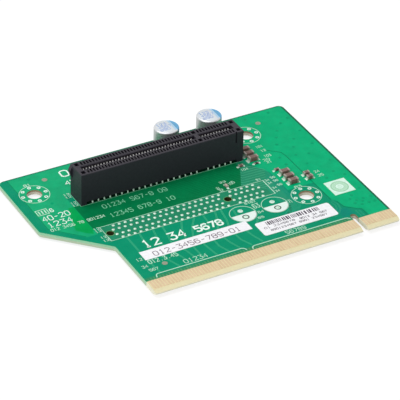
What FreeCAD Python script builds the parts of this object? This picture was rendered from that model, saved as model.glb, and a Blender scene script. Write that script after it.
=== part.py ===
"""PCIe riser card for a server: a green circuit board that plugs into a motherboard by its
card edge and carries a 98-contact card slot, with the place for a second slot left unfitted.

Frame (millimetres): the origin is on the mating edge of the card, at the centre of the key
notch and at mid-thickness of the board. +X runs along the card edge towards the short group
of contact pads, +Y runs away from the card edge, and +Z is the outward normal of the face
that carries the slot.
"""
import FreeCAD
import Part
import math
import os

Vector = FreeCAD.Vector

# ---------------------------------------------------------------- driving dimensions
# Circuit board
BOARD_THICKNESS = 1.6
TONGUE_RIGHT_MARGIN = 0.55      # last pad centre to the right side of the board
TONGUE_LEFT_MARGIN = 0.95       # last pad centre to the left side of the tongue
HOLE_TO_LEFT_EDGE = 7.4         # left mounting hole to the left edge
BACK_MARGIN = 3.7               # capacitor cans to the back edge
WING_FRONT_DROP = 18.95         # left mounting hole down to the wing's front corner
WING_SLANT_ANGLE = 45.0         # slanted edge between the tongue and the wing
BACK_CORNER_RADIUS = 1.8
WING_CORNER_RADIUS = 1.2
TONGUE_CORNER_RADIUS = 0.8

# Card edge
BEVEL_LENGTH = 1.6
BEVEL_ANGLE = 20.0
KEY_NOTCH_WIDTH = 1.9
KEY_NOTCH_DEPTH = 8.45
PAD_PITCH = 1.0
PAD_WIDTH = 0.7
PAD_LENGTH = 4.15
PAD_THICKNESS = 0.04
PAD_TO_NOTCH = 0.2              # first pad's side to the side of the key notch
PADS_RIGHT = 11
PADS_LEFT = 70

# Mounting holes
MOUNTING_HOLE_DIAMETER = 4.8
MOUNTING_HOLE_FROM_KEY = 6.95   # right-hand holes, to the left of the key notch
MOUNTING_HOLE_PITCH_X = 73.95
MOUNTING_HOLE_PITCH_Y = 37.8
FRONT_MOUNTING_HOLE_Y = 23.6

# Slot positions on the board: the datum of a slot is the peg under its key rib
SLOT_DATUM_FROM_KEY = 29.5      # to the left of the key notch
SPARE_SLOT_Y = 32.5             # place of the slot that is not fitted
SLOT_SPACING = 20.32

# Slot contacts
CONTACT_PITCH = 1.0
CONTACTS_LONG_SIDE = 38
CONTACTS_SHORT_SIDE = 11
FIRST_CONTACT_FROM_KEY = 1.5
CONTACT_WIDTH = 0.4
CONTACT_THICKNESS = 0.3
CONTACT_CLEARANCE = 0.1         # each side of a contact in its cavity
INNER_PIN_ROW = 1.25            # pin rows, from the middle line of the slot
OUTER_PIN_ROW = 3.25
KNEE_FROM_SLOT = 1.35           # middle of the contact's knee, behind the wall of the card slot
KNEE_ABOVE_FLOOR = 0.4
NOSE_REACH = 0.3                # how far a contact's nose stands into the card slot
NOSE_BELOW_TOP = 1.9
TIP_BELOW_TOP = 0.8
TIP_SETBACK = 0.25              # the flared tip, behind the wall of the card slot

# Slot housing
HOUSING_HEIGHT = 11.15          # above the face of the board
HOUSING_STANDOFF = 1.1          # raised underside between the feet
CARD_SLOT_WIDTH = 1.7
CARD_SLOT_DEPTH = 8.25
CARD_SLOT_LEAD_IN = 0.25
KEY_RIB_WIDTH = 1.4
CARD_SLOT_LONG_END = 1.2        # last contact to the end of the card slot
CARD_SLOT_SHORT_END = 1.0
END_BLOCK_LONG = 1.8            # end of the card slot to the end of the housing
END_BLOCK_SHORT = 2.0
PIN_ROW_TO_CAVITY_WALL = 0.1    # outer pin row to the outer wall of the cavities
SIDE_WALL = 0.6
WINDOW_LIP = 0.65               # wall between the card slot and a contact window
LIP_HEIGHT = 0.7
HOUSING_CHAMFER = 0.12
CORING_LENGTH = 1.25            # square coring pockets in the top face
CORING_WIDTH = 1.45
CORING_DEPTH = 3.0
CORING_FROM_MIDDLE = 2.35
END_CORING_OFFSET = 0.8         # beyond the short end of the card slot
SLIT_WIDTH = 0.5                # slit in the front wall beside the last short-side contact
SLIT_DEPTH = 0.4
SLIT_HEIGHT = 3.85
SLIT_FROM_CONTACT = 0.45
LATCH_NUB_REACH = 0.75          # wedge on the long end, for a card guide
LATCH_NUB_WIDTH = 1.3
LATCH_NUB_BELOW_TOP = (0.3, 1.8, 2.4, 4.8)  # start of the ramp, its crest from and to, and its foot
PEG_DIAMETER = 2.3
PEG_CLEARANCE = 0.05            # on the radius of the peg holes
PEG_SHORTFALL = 0.1             # peg end below the far face of the board
PEG_BOSS_DIAMETER = 3.4
LONG_PEG_FROM_CONTACT = 1.65    # last long-side contact to the peg at that end

# Solder joints: low cones
PIN_JOINT_RADIUS = 0.55
PIN_JOINT_HEIGHT = 0.25
LEAD_JOINT_RADIUS = 0.9
LEAD_JOINT_HEIGHT = 0.7

# Can capacitors
CAN_DIAMETER = 8.0
CAN_TOP = 9.35                  # above the board
CAN_LIFT = 0.5
CAN_RIM_CHAMFER = 0.5
CAN_CRIMP_HEIGHT = 2.1          # middle of the crimp groove, above the board
CAN_CRIMP_WIDTH = 1.0
CAN_CRIMP_DEPTH = 0.3
SEAL_LIFT = 0.2
SEAL_HEIGHT = 1.0
SEAL_TO_CAN_WALL = 0.75
LEAD_DIAMETER = 0.6
LEAD_PITCH = 3.5
CAN_TO_SLOT = 3.85              # the slot's back wall to the cans
LEFT_CAN_FROM_DATUM = -4.4
RIGHT_CAN_FROM_DATUM = 10.7

# Spare capacitor places (bare plated holes)
SPARE_HOLE_DIAMETER = 0.9
SPARE_LAND_DIAMETER = 1.7
SPARE_CAN_FROM_SLOT = 9.1       # in front of the spare slot's middle line
LEFT_SPARE_FROM_DATUM = 0.2
RIGHT_SPARE_FROM_DATUM = 11.3

# Chip components: length, width and height, with the length of an end terminal
LARGE_CHIP = {"length": 3.2, "width": 1.6, "height": 1.6, "terminal": 0.5}
MEDIUM_CHIP = {"length": 2.0, "width": 1.25, "height": 1.25, "terminal": 0.4}
SMALL_CHIP = {"length": 1.6, "width": 0.8, "height": 0.8, "terminal": 0.3}
FLAT_CHIP = {"length": 1.6, "width": 0.8, "height": 0.45, "terminal": 0.3}
TERMINAL_WRAP = 0.03            # how far a terminal stands proud of the body
FILLET_LENGTH = 0.6
FILLET_RISE = 0.55              # share of the chip's height wetted by solder
LARGE_CHIP_PITCH = 2.7
MEDIUM_CHIP_PITCH = 2.2
SLOT_TO_CHIPS = 1.4             # end of the slot to the chips beside it
SLOT_CHIPS_BELOW_SLOT = 2.2
RESISTOR_FROM_SLOT_CHIPS = 4.9
SLOT_FILTER_FROM_DATUM = 12.3
SLOT_FILTER_BELOW_SLOT = 6.4
RAIL_CHIPS_FROM_KEY = 7.1
RAIL_CHIPS_ABOVE_SPARE = 1.6
RAIL_FILTER_FROM_KEY = 8.3
RAIL_FILTER_ABOVE_SPARE = 7.05
CLOCK_CHIPS_FROM_KEY = 1.3
CLOCK_CHIPS_BELOW_SPARE = 0.25
SPARE_FILTER_FROM_DATUM = 2.9
SPARE_FILTER_ABOVE_SPARE = 6.1

# Labels: size and the place of the middle
LABEL_THICKNESS = 0.1
STRIP_LABEL = {"length": 36.1, "width": 4.4, "x": -48.65, "y": 17.5}
CODE_LABEL = {"length": 25.7, "width": 6.95, "x": -16.15, "y": 13.7}
CODE_LABEL_CORNER = 0.8
SQUARE_LABEL = {"length": 7.25, "width": 7.3, "x": 4.5, "y": 22.95}

# Round pads that the placing machine sights on
SIGHTING_PAD_DIAMETER = 1.8
WING_SIGHT_FROM_LEFT = 13.6
WING_SIGHT_FROM_BACK = 4.9
TONGUE_SIGHT_FROM_LEFT = 9.15
TONGUE_SIGHT_FROM_NOSE = 11.6
KEY_SIGHT_FROM_BACK = 6.3

# Small round features that repeat are drawn with flat sides
SMALL_ROUND_SIDES = 10
SOLDER_SIDES = 5

# ---------------------------------------------------------------- places worked out from them
TOP = BOARD_THICKNESS / 2
BOTTOM = -TOP
BEVEL_RISE = BEVEL_LENGTH * math.tan(math.radians(BEVEL_ANGLE))
FIRST_PAD = KEY_NOTCH_WIDTH / 2 + PAD_TO_NOTCH + PAD_WIDTH / 2
BOARD_RIGHT = FIRST_PAD + (PADS_RIGHT - 1) * PAD_PITCH + TONGUE_RIGHT_MARGIN
TONGUE_LEFT = -(FIRST_PAD + (PADS_LEFT - 1) * PAD_PITCH + TONGUE_LEFT_MARGIN)

RIGHT_HOLES_X = -MOUNTING_HOLE_FROM_KEY
LEFT_HOLE_X = RIGHT_HOLES_X - MOUNTING_HOLE_PITCH_X
BACK_HOLES_Y = FRONT_MOUNTING_HOLE_Y + MOUNTING_HOLE_PITCH_Y
BOARD_LEFT = LEFT_HOLE_X - HOLE_TO_LEFT_EDGE
WING_FRONT_Y = BACK_HOLES_Y - WING_FRONT_DROP
TONGUE_SIDE_Y = WING_FRONT_Y - (TONGUE_LEFT - BOARD_LEFT) * math.tan(math.radians(WING_SLANT_ANGLE))

SLOT_X = -SLOT_DATUM_FROM_KEY
SLOT_Y = SPARE_SLOT_Y + SLOT_SPACING
LAST_LONG_CONTACT = FIRST_CONTACT_FROM_KEY + (CONTACTS_LONG_SIDE - 1) * CONTACT_PITCH
LAST_SHORT_CONTACT = FIRST_CONTACT_FROM_KEY + (CONTACTS_SHORT_SIDE - 1) * CONTACT_PITCH
CARD_SLOT_START = -(LAST_LONG_CONTACT + CARD_SLOT_LONG_END)
CARD_SLOT_STOP = LAST_SHORT_CONTACT + CARD_SLOT_SHORT_END
HOUSING_START = CARD_SLOT_START - END_BLOCK_LONG
HOUSING_STOP = CARD_SLOT_STOP + END_BLOCK_SHORT
CARD_SLOT_FLOOR = HOUSING_HEIGHT - CARD_SLOT_DEPTH
CAVITY_OUTER_WALL = OUTER_PIN_ROW - PIN_ROW_TO_CAVITY_WALL
HOUSING_HALF_WIDTH = CAVITY_OUTER_WALL + SIDE_WALL
CAVITY_WIDTH = CONTACT_WIDTH + 2 * CONTACT_CLEARANCE
LONG_PEG_X = -(LAST_LONG_CONTACT + LONG_PEG_FROM_CONTACT)

CAN_Y = SLOT_Y + HOUSING_HALF_WIDTH + CAN_TO_SLOT + CAN_DIAMETER / 2
BOARD_BACK = CAN_Y + CAN_DIAMETER / 2 + BACK_MARGIN
SPARE_CAN_Y = SPARE_SLOT_Y - SPARE_CAN_FROM_SLOT


# ---------------------------------------------------------------- helpers
def box(x_range, y_range, z_range):
    """Box between two values along each axis."""
    size = [high - low for low, high in (x_range, y_range, z_range)]
    return Part.makeBox(*size, Vector(x_range[0], y_range[0], z_range[0]))


def rounded_plate(corners, z_range):
    """Plate whose outline runs through corners (x, y, radius), each rounded by one arc."""
    edges = []
    stops = []
    for index, (x, y, radius) in enumerate(corners):
        corner = Vector(x, y, z_range[0])
        before = Vector(*corners[index - 1][:2], z_range[0])
        after = Vector(*corners[(index + 1) % len(corners)][:2], z_range[0])
        back = (before - corner).normalize()
        ahead = (after - corner).normalize()
        half_angle = back.getAngle(ahead) / 2
        setback = radius / math.tan(half_angle)
        start = corner + back * setback
        stop = corner + ahead * setback
        middle = corner + (back + ahead).normalize() * radius * (1 / math.sin(half_angle) - 1)
        edges.append(Part.Arc(start, middle, stop).toShape())
        stops.append((start, stop))
    for index, (start, _) in enumerate(stops):
        edges.append(Part.LineSegment(stops[index - 1][1], start).toShape())
    outline = Part.Wire(Part.__sortEdges__(edges))
    return Part.Face(outline).extrude(Vector(0, 0, z_range[1] - z_range[0]))


def prism_along_x(profile, x_range):
    """Prism with a (y, z) profile between two values of x."""
    points = [Vector(x_range[0], y, z) for y, z in profile]
    face = Part.Face(Part.makePolygon(points + points[:1]))
    return face.extrude(Vector(x_range[1] - x_range[0], 0, 0))


def round_post(x, y, diameter, z_range):
    """Upright cylinder between two heights."""
    return Part.makeCylinder(diameter / 2, z_range[1] - z_range[0], Vector(x, y, z_range[0]))


def ring_of_points(x, y, radius, z, sides):
    """Corners of an upright regular polygon."""
    turns = [2 * math.pi * index / sides for index in range(sides)]
    return [Vector(x + radius * math.cos(turn), y + radius * math.sin(turn), z) for turn in turns]


def small_post(x, y, diameter, z_range):
    """Upright post of a small round feature."""
    ring = ring_of_points(x, y, diameter / 2, z_range[0], SMALL_ROUND_SIDES)
    face = Part.Face(Part.makePolygon(ring + ring[:1]))
    return face.extrude(Vector(0, 0, z_range[1] - z_range[0]))


def solder_cone(x, y, radius, z_base, z_tip):
    """Low cone, as solder stands round a pin."""
    ring = ring_of_points(x, y, radius, z_base, SOLDER_SIDES)
    tip = Vector(x, y, z_tip)
    faces = [Part.Face(Part.makePolygon(ring + ring[:1]))]
    for index, corner in enumerate(ring):
        faces.append(Part.Face(Part.makePolygon([ring[index - 1], corner, tip, ring[index - 1]])))
    return Part.makeSolid(Part.makeShell(faces))


# ---------------------------------------------------------------- circuit board
def board_outline():
    """Corners of the board, anticlockwise from the right end of the card edge."""
    return [
        (BOARD_RIGHT, 0, TONGUE_CORNER_RADIUS),
        (BOARD_RIGHT, BOARD_BACK, BACK_CORNER_RADIUS),
        (BOARD_LEFT, BOARD_BACK, BACK_CORNER_RADIUS),
        (BOARD_LEFT, WING_FRONT_Y, WING_CORNER_RADIUS),
        (TONGUE_LEFT, TONGUE_SIDE_Y, WING_CORNER_RADIUS),
        (TONGUE_LEFT, 0, TONGUE_CORNER_RADIUS),
    ]


def key_notch():
    """Round-ended notch that keys the card edge."""
    radius = KEY_NOTCH_WIDTH / 2
    through = (BOTTOM - 1, TOP + 1)
    straight = box((-radius, radius), (-1, KEY_NOTCH_DEPTH - radius), through)
    return straight.fuse(round_post(0, KEY_NOTCH_DEPTH - radius, KEY_NOTCH_WIDTH, through))


def card_edge_bevels():
    """Wedges cut from both faces of the mating edge."""
    length = (TONGUE_LEFT - 1, BOARD_RIGHT + 1)
    top_wedge = [(-1, TOP - BEVEL_RISE * (1 + 1 / BEVEL_LENGTH)), (BEVEL_LENGTH, TOP), (-1, TOP)]
    bottom_wedge = [(y, -z) for y, z in top_wedge]
    return [prism_along_x(wedge, length) for wedge in (top_wedge, bottom_wedge)]


def peg_places():
    """Places of the four peg holes, two for the fitted slot and two for the spare one."""
    return [(SLOT_X + peg_x, y) for y in (SPARE_SLOT_Y, SLOT_Y) for peg_x in (0, LONG_PEG_X)]


def spare_lead_places():
    """Places of the bare lead holes where no capacitor is fitted."""
    return [
        (SLOT_X + offset, SPARE_CAN_Y + side * LEAD_PITCH / 2)
        for offset in (LEFT_SPARE_FROM_DATUM, RIGHT_SPARE_FROM_DATUM)
        for side in (-1, 1)
    ]


def mounting_hole_places():
    """Places of the three screw holes."""
    return [
        (LEFT_HOLE_X, BACK_HOLES_Y),
        (RIGHT_HOLES_X, BACK_HOLES_Y),
        (RIGHT_HOLES_X, FRONT_MOUNTING_HOLE_Y),
    ]


def circuit_board():
    """Laminate with its bevelled card edge, key notch and holes."""
    through = (BOTTOM - 1, TOP + 1)
    cuts = [key_notch()] + card_edge_bevels()
    cuts += [round_post(x, y, MOUNTING_HOLE_DIAMETER, through) for x, y in mounting_hole_places()]
    cuts += [small_post(x, y, PEG_DIAMETER + 2 * PEG_CLEARANCE, through) for x, y in peg_places()]
    cuts += [small_post(x, y, SPARE_HOLE_DIAMETER, through) for x, y in spare_lead_places()]
    return rounded_plate(board_outline(), (BOTTOM, TOP)).cut(cuts)


def edge_pads(z_range):
    """Gold pads of one face of the card edge, on both sides of the key notch."""
    right = [FIRST_PAD + index * PAD_PITCH for index in range(PADS_RIGHT)]
    left = [-FIRST_PAD - index * PAD_PITCH for index in range(PADS_LEFT)]
    y_range = (BEVEL_LENGTH, BEVEL_LENGTH + PAD_LENGTH)
    half = PAD_WIDTH / 2
    return [box((x - half, x + half), y_range, z_range) for x in left + right]


# ---------------------------------------------------------------- card slot
# A slot is modelled in its own frame: x along the slot from the key rib, y across it, and
# z up from the face of the board that it stands on.
def contact_places():
    """Places along the slot of its contacts, from the long end to the short end."""
    long_side = [-LAST_LONG_CONTACT + index * CONTACT_PITCH for index in range(CONTACTS_LONG_SIDE)]
    short_side = [FIRST_CONTACT_FROM_KEY + index * CONTACT_PITCH for index in range(CONTACTS_SHORT_SIDE)]
    return long_side + short_side


def pin_row(index):
    """Distance of a contact's pin from the middle line: the rows are staggered."""
    return INNER_PIN_ROW if index % 2 == 0 else OUTER_PIN_ROW


def latch_nub():
    """Ramped nub at the back of the housing's long end."""
    ramp, crest, crest_end, foot = [HOUSING_HEIGHT - drop for drop in LATCH_NUB_BELOW_TOP]
    crest_x = HOUSING_START - LATCH_NUB_REACH
    side = [(HOUSING_START, ramp), (crest_x, crest), (crest_x, crest_end), (HOUSING_START, foot)]
    points = [Vector(x, HOUSING_HALF_WIDTH, z) for x, z in side]
    face = Part.Face(Part.makePolygon(points + points[:1]))
    return face.extrude(Vector(0, -LATCH_NUB_WIDTH, 0))


def housing_block():
    """Bar of the housing with chamfered top edges, on two end feet and a boss."""
    half = HOUSING_HALF_WIDTH
    shoulder = HOUSING_HEIGHT - HOUSING_CHAMFER
    profile = [
        (-half, HOUSING_STANDOFF),
        (half, HOUSING_STANDOFF),
        (half, shoulder),
        (half - HOUSING_CHAMFER, HOUSING_HEIGHT),
        (HOUSING_CHAMFER - half, HOUSING_HEIGHT),
        (-half, shoulder),
    ]
    bar = prism_along_x(profile, (HOUSING_START, HOUSING_STOP))
    width = (-half, half)
    foot_height = (0, HOUSING_STANDOFF)
    long_foot = box((HOUSING_START, CARD_SLOT_START), width, foot_height)
    short_foot = box((CARD_SLOT_STOP, HOUSING_STOP), width, foot_height)
    boss = small_post(0, 0, PEG_BOSS_DIAMETER, foot_height)
    peg_height = (PEG_SHORTFALL - BOARD_THICKNESS, 0)
    pegs = [small_post(x, 0, PEG_DIAMETER, peg_height) for x in (0, LONG_PEG_X)]
    return bar.fuse([long_foot, short_foot, boss, latch_nub()] + pegs)


def card_slot_cuts():
    """The slot for a card, in two lengths either side of the key rib, with a lead-in."""
    half = CARD_SLOT_WIDTH / 2
    mouth = half + CARD_SLOT_LEAD_IN
    profile = [
        (-half, CARD_SLOT_FLOOR),
        (half, CARD_SLOT_FLOOR),
        (half, HOUSING_HEIGHT - CARD_SLOT_LEAD_IN),
        (mouth, HOUSING_HEIGHT),
        (-mouth, HOUSING_HEIGHT),
        (-half, HOUSING_HEIGHT - CARD_SLOT_LEAD_IN),
    ]
    rib = KEY_RIB_WIDTH / 2
    return [
        prism_along_x(profile, (CARD_SLOT_START, -rib)),
        prism_along_x(profile, (rib, CARD_SLOT_STOP)),
    ]


def contact_cavity(x, side):
    """Cavity that holds one contact: a window in the top, open to the card slot below the
    lip, and right through to the underside for the pin."""
    wall = CARD_SLOT_WIDTH / 2
    profile = [
        (wall, HOUSING_STANDOFF),
        (CAVITY_OUTER_WALL, HOUSING_STANDOFF),
        (CAVITY_OUTER_WALL, HOUSING_HEIGHT),
        (wall + WINDOW_LIP, HOUSING_HEIGHT),
        (wall, HOUSING_HEIGHT - LIP_HEIGHT),
    ]
    half = CAVITY_WIDTH / 2
    return prism_along_x([(side * y, z) for y, z in profile], (x - half, x + half))


def coring_pockets():
    """Square pockets in the top face at the key rib and at both ends."""
    places = [LONG_PEG_X, 0, CARD_SLOT_STOP + END_CORING_OFFSET]
    half_length = CORING_LENGTH / 2
    half_width = CORING_WIDTH / 2
    depth = (HOUSING_HEIGHT - CORING_DEPTH, HOUSING_HEIGHT)
    return [
        box((x - half_length, x + half_length), (y - half_width, y + half_width), depth)
        for x in places
        for y in (-CORING_FROM_MIDDLE, CORING_FROM_MIDDLE)
    ]


def front_slit():
    """Upright slit in the front wall beside the last contact of the short side."""
    middle = LAST_SHORT_CONTACT + SLIT_FROM_CONTACT
    x_range = (middle - SLIT_WIDTH / 2, middle + SLIT_WIDTH / 2)
    y_range = (-HOUSING_HALF_WIDTH, SLIT_DEPTH - HOUSING_HALF_WIDTH)
    return box(x_range, y_range, (HOUSING_HEIGHT - SLIT_HEIGHT, HOUSING_HEIGHT))


def slot_housing():
    """Moulded housing: one piece with its feet, pegs, card slot and contact cavities."""
    cavities = [contact_cavity(x, side) for x in contact_places() for side in (-1, 1)]
    return housing_block().cut(card_slot_cuts() + cavities + coring_pockets() + [front_slit()])


def slot_contact(x, side, row):
    """Spring contact: its pin leans into the cavity, the beam rises from a knee to a nose in
    the card slot, and the tip flares back under the window."""
    wall = CARD_SLOT_WIDTH / 2
    half = CONTACT_THICKNESS / 2
    knee = wall + KNEE_FROM_SLOT
    knee_height = CARD_SLOT_FLOOR + KNEE_ABOVE_FLOOR
    nose = wall - NOSE_REACH
    nose_height = HOUSING_HEIGHT - NOSE_BELOW_TOP
    profile = [
        (row - half, 0),
        (row + half, 0),
        (knee + half, knee_height),
        (wall + TIP_SETBACK, HOUSING_HEIGHT - TIP_BELOW_TOP),
        (nose, nose_height),
        (knee - half, knee_height),
    ]
    half_width = CONTACT_WIDTH / 2
    return prism_along_x([(side * y, z) for y, z in profile], (x - half_width, x + half_width))


def slot_contacts(side):
    """All contacts of one side of the slot: side is -1 or 1 along y."""
    return [slot_contact(x, side, pin_row(index)) for index, x in enumerate(contact_places())]


def pin_joints(face, height):
    """Solder over the pin holes of a slot: cones on one face of the board, given by its z
    and by the height of the solder, negative on the underside."""
    return [
        solder_cone(x, side * pin_row(index), PIN_JOINT_RADIUS, face, face + height)
        for index, x in enumerate(contact_places())
        for side in (-1, 1)
    ]


def at_slot(shapes, y):
    """Set shapes of the slot's frame on the top face, with the slot's middle line at y."""
    placed = Part.makeCompound(shapes)
    placed.translate(Vector(SLOT_X, y, TOP))
    return placed


# ---------------------------------------------------------------- can capacitors
def capacitor_can(x):
    """Closed aluminium can with a crimp groove, over the recess for its seal."""
    radius = CAN_DIAMETER / 2
    seal_top = TOP + SEAL_LIFT + SEAL_HEIGHT
    seal_radius = radius - SEAL_TO_CAN_WALL
    foot = TOP + CAN_LIFT
    top = TOP + CAN_TOP
    groove = TOP + CAN_CRIMP_HEIGHT
    half_groove = CAN_CRIMP_WIDTH / 2
    profile = [
        Vector(0, 0, seal_top),
        Vector(seal_radius, 0, seal_top),
        Vector(seal_radius, 0, foot),
        Vector(radius, 0, foot),
        Vector(radius, 0, groove - half_groove),
        Vector(radius - CAN_CRIMP_DEPTH, 0, groove),
        Vector(radius, 0, groove + half_groove),
        Vector(radius, 0, top - CAN_RIM_CHAMFER),
        Vector(radius - CAN_RIM_CHAMFER, 0, top),
        Vector(0, 0, top),
    ]
    outline = Part.makePolygon(profile + profile[:1])
    can = Part.Face(outline).revolve(Vector(0, 0, 0), Vector(0, 0, 1), 360)
    can.translate(Vector(x, CAN_Y, 0))
    return can


def capacitor_leads(x):
    """The two leads, from the board up through the seal."""
    height = (TOP, TOP + SEAL_LIFT + SEAL_HEIGHT)
    return [small_post(lead_x, CAN_Y, LEAD_DIAMETER, height) for lead_x in lead_places(x)]


def capacitor_seal(x):
    """Rubber seal in the mouth of the can, with a hole for each lead."""
    radius = CAN_DIAMETER / 2 - SEAL_TO_CAN_WALL
    bottom = TOP + SEAL_LIFT
    bung = round_post(x, CAN_Y, 2 * radius, (bottom, bottom + SEAL_HEIGHT))
    return bung.cut(capacitor_leads(x))


def lead_places(x):
    """Places along X of a capacitor's two leads."""
    return (x - LEAD_PITCH / 2, x + LEAD_PITCH / 2)


def capacitor_lead_joints(cans):
    """Solder joints of the capacitors' leads, on the bottom face."""
    tip = BOTTOM - LEAD_JOINT_HEIGHT
    places = [lead_x for x in cans for lead_x in lead_places(x)]
    return [solder_cone(x, CAN_Y, LEAD_JOINT_RADIUS, BOTTOM, tip) for x in places]


def spare_lands():
    """Bare annular lands round the spare lead holes."""
    height = (TOP, TOP + PAD_THICKNESS)
    lands = []
    for x, y in spare_lead_places():
        land = small_post(x, y, SPARE_LAND_DIAMETER, height)
        lands.append(land.cut(small_post(x, y, SPARE_HOLE_DIAMETER, height)))
    return lands


# ---------------------------------------------------------------- chip components
# A chip is modelled lengthwise along x with its middle at the origin, on z = 0.
def chip_body(size):
    """Ceramic block between the two terminals."""
    half_length = size["length"] / 2 - size["terminal"]
    half_width = size["width"] / 2 - TERMINAL_WRAP
    height = (TERMINAL_WRAP, size["height"] - TERMINAL_WRAP)
    return [box((-half_length, half_length), (-half_width, half_width), height)]


def chip_terminals(size):
    """The two metal ends."""
    outer = size["length"] / 2
    inner = outer - size["terminal"]
    width = (-size["width"] / 2, size["width"] / 2)
    height = (0, size["height"])
    return [box((-outer, -inner), width, height), box((inner, outer), width, height)]


def chip_fillets(size):
    """Solder wedge against each end of the chip."""
    outer = size["length"] / 2
    rise = size["height"] * FILLET_RISE
    wedges = []
    for side in (-1, 1):
        foot = side * (outer + FILLET_LENGTH)
        corners = [Vector(side * outer, 0, 0), Vector(foot, 0, 0), Vector(side * outer, 0, rise)]
        face = Part.Face(Part.makePolygon(corners + corners[:1]))
        face.translate(Vector(0, -size["width"] / 2, 0))
        wedges.append(face.extrude(Vector(0, size["width"], 0)))
    return wedges


def large_chip_row(name, x, y_middle):
    """Three large chips in a row along y, numbered from the back."""
    return {
        f"{name}_{index + 1}": (LARGE_CHIP, x, y_middle + (1 - index) * LARGE_CHIP_PITCH, 0)
        for index in range(3)
    }


def chip_places():
    """Every chip by name: its size, x, y and turn in degrees."""
    slot_chips_x = SLOT_X + HOUSING_STOP + SLOT_TO_CHIPS + LARGE_CHIP["length"] / 2
    slot_chips_y = SLOT_Y - SLOT_CHIPS_BELOW_SLOT
    rail_chips_y = SPARE_SLOT_Y + RAIL_CHIPS_ABOVE_SPARE
    clock_chips_y = SPARE_SLOT_Y - CLOCK_CHIPS_BELOW_SPARE
    half_pitch = MEDIUM_CHIP_PITCH / 2
    resistor_y = slot_chips_y - RESISTOR_FROM_SLOT_CHIPS
    filter_1 = (SLOT_X + SLOT_FILTER_FROM_DATUM, SLOT_Y - SLOT_FILTER_BELOW_SLOT)
    filter_2 = (SLOT_X + SPARE_FILTER_FROM_DATUM, SPARE_SLOT_Y + SPARE_FILTER_ABOVE_SPARE)
    filter_3 = (-RAIL_FILTER_FROM_KEY, SPARE_SLOT_Y + RAIL_FILTER_ABOVE_SPARE)
    return {
        **large_chip_row("slot_capacitor", slot_chips_x, slot_chips_y),
        **large_chip_row("rail_capacitor", -RAIL_CHIPS_FROM_KEY, rail_chips_y),
        "clock_capacitor_1": (MEDIUM_CHIP, -CLOCK_CHIPS_FROM_KEY, clock_chips_y + half_pitch, 0),
        "clock_capacitor_2": (MEDIUM_CHIP, -CLOCK_CHIPS_FROM_KEY, clock_chips_y - half_pitch, 0),
        "pull_up_resistor": (FLAT_CHIP, slot_chips_x, resistor_y, 0),
        "filter_capacitor_1": (SMALL_CHIP, *filter_1, 0),
        "filter_capacitor_2": (SMALL_CHIP, *filter_2, 90),
        "filter_capacitor_3": (SMALL_CHIP, *filter_3, 0),
    }


def placed_chip(shapes, x, y, turn):
    """Set shapes of the chip's frame on the top face of the board."""
    placed = Part.makeCompound(shapes)
    placed.rotate(Vector(0, 0, 0), Vector(0, 0, 1), turn)
    placed.translate(Vector(x, y, TOP))
    return placed


# ---------------------------------------------------------------- labels and sighting pads
def label_sides(size):
    """Ranges of a label along x and y."""
    x_range = (size["x"] - size["length"] / 2, size["x"] + size["length"] / 2)
    y_range = (size["y"] - size["width"] / 2, size["y"] + size["width"] / 2)
    return x_range, y_range


def square_cut_label(size):
    """Thin sticker with square corners."""
    return box(*label_sides(size), (TOP, TOP + LABEL_THICKNESS))


def rounded_label(size, radius):
    """Thin sticker with rounded corners."""
    (left, right), (front, back) = label_sides(size)
    corners = [(right, front, radius), (right, back, radius), (left, back, radius), (left, front, radius)]
    return rounded_plate(corners, (TOP, TOP + LABEL_THICKNESS))


def sighting_pads():
    """The three round sighting pads."""
    places = [
        (BOARD_LEFT + WING_SIGHT_FROM_LEFT, BOARD_BACK - WING_SIGHT_FROM_BACK),
        (TONGUE_LEFT + TONGUE_SIGHT_FROM_LEFT, TONGUE_SIGHT_FROM_NOSE),
        (0, BOARD_BACK - KEY_SIGHT_FROM_BACK),
    ]
    return [small_post(x, y, SIGHTING_PAD_DIAMETER, (TOP, TOP + PAD_THICKNESS)) for x, y in places]


# ---------------------------------------------------------------- the whole card
def slot_nodes():
    """Nodes of the fitted slot, and the solder that fills the holes of the spare one."""
    return {
        "slot_housing": at_slot([slot_housing()], SLOT_Y),
        "slot_front_contacts": at_slot(slot_contacts(-1), SLOT_Y),
        "slot_back_contacts": at_slot(slot_contacts(1), SLOT_Y),
        "slot_pin_joints": at_slot(pin_joints(-BOARD_THICKNESS, -PIN_JOINT_HEIGHT), SLOT_Y),
        "spare_slot_solder": at_slot(pin_joints(0, PIN_JOINT_HEIGHT), SPARE_SLOT_Y),
    }


def capacitor_nodes():
    """Nodes of the two can capacitors and of the spare places for two more."""
    cans = {"left": SLOT_X + LEFT_CAN_FROM_DATUM, "right": SLOT_X + RIGHT_CAN_FROM_DATUM}
    nodes = {}
    for side, x in cans.items():
        nodes[f"{side}_capacitor_can"] = capacitor_can(x)
        nodes[f"{side}_capacitor_seal"] = capacitor_seal(x)
        nodes[f"{side}_capacitor_leads"] = Part.makeCompound(capacitor_leads(x))
    nodes["capacitor_lead_joints"] = Part.makeCompound(capacitor_lead_joints(cans.values()))
    nodes["spare_capacitor_lands"] = Part.makeCompound(spare_lands())
    return nodes


def chip_nodes():
    """Body and terminals of every chip, and the solder of them all."""
    nodes = {}
    fillets = []
    for name, (size, x, y, turn) in chip_places().items():
        nodes[f"{name}_body"] = placed_chip(chip_body(size), x, y, turn)
        nodes[f"{name}_terminals"] = placed_chip(chip_terminals(size), x, y, turn)
        fillets.append(placed_chip(chip_fillets(size), x, y, turn))
    nodes["chip_solder_joints"] = Part.makeCompound([wedge for pair in fillets for wedge in pair.Solids])
    return nodes


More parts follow.
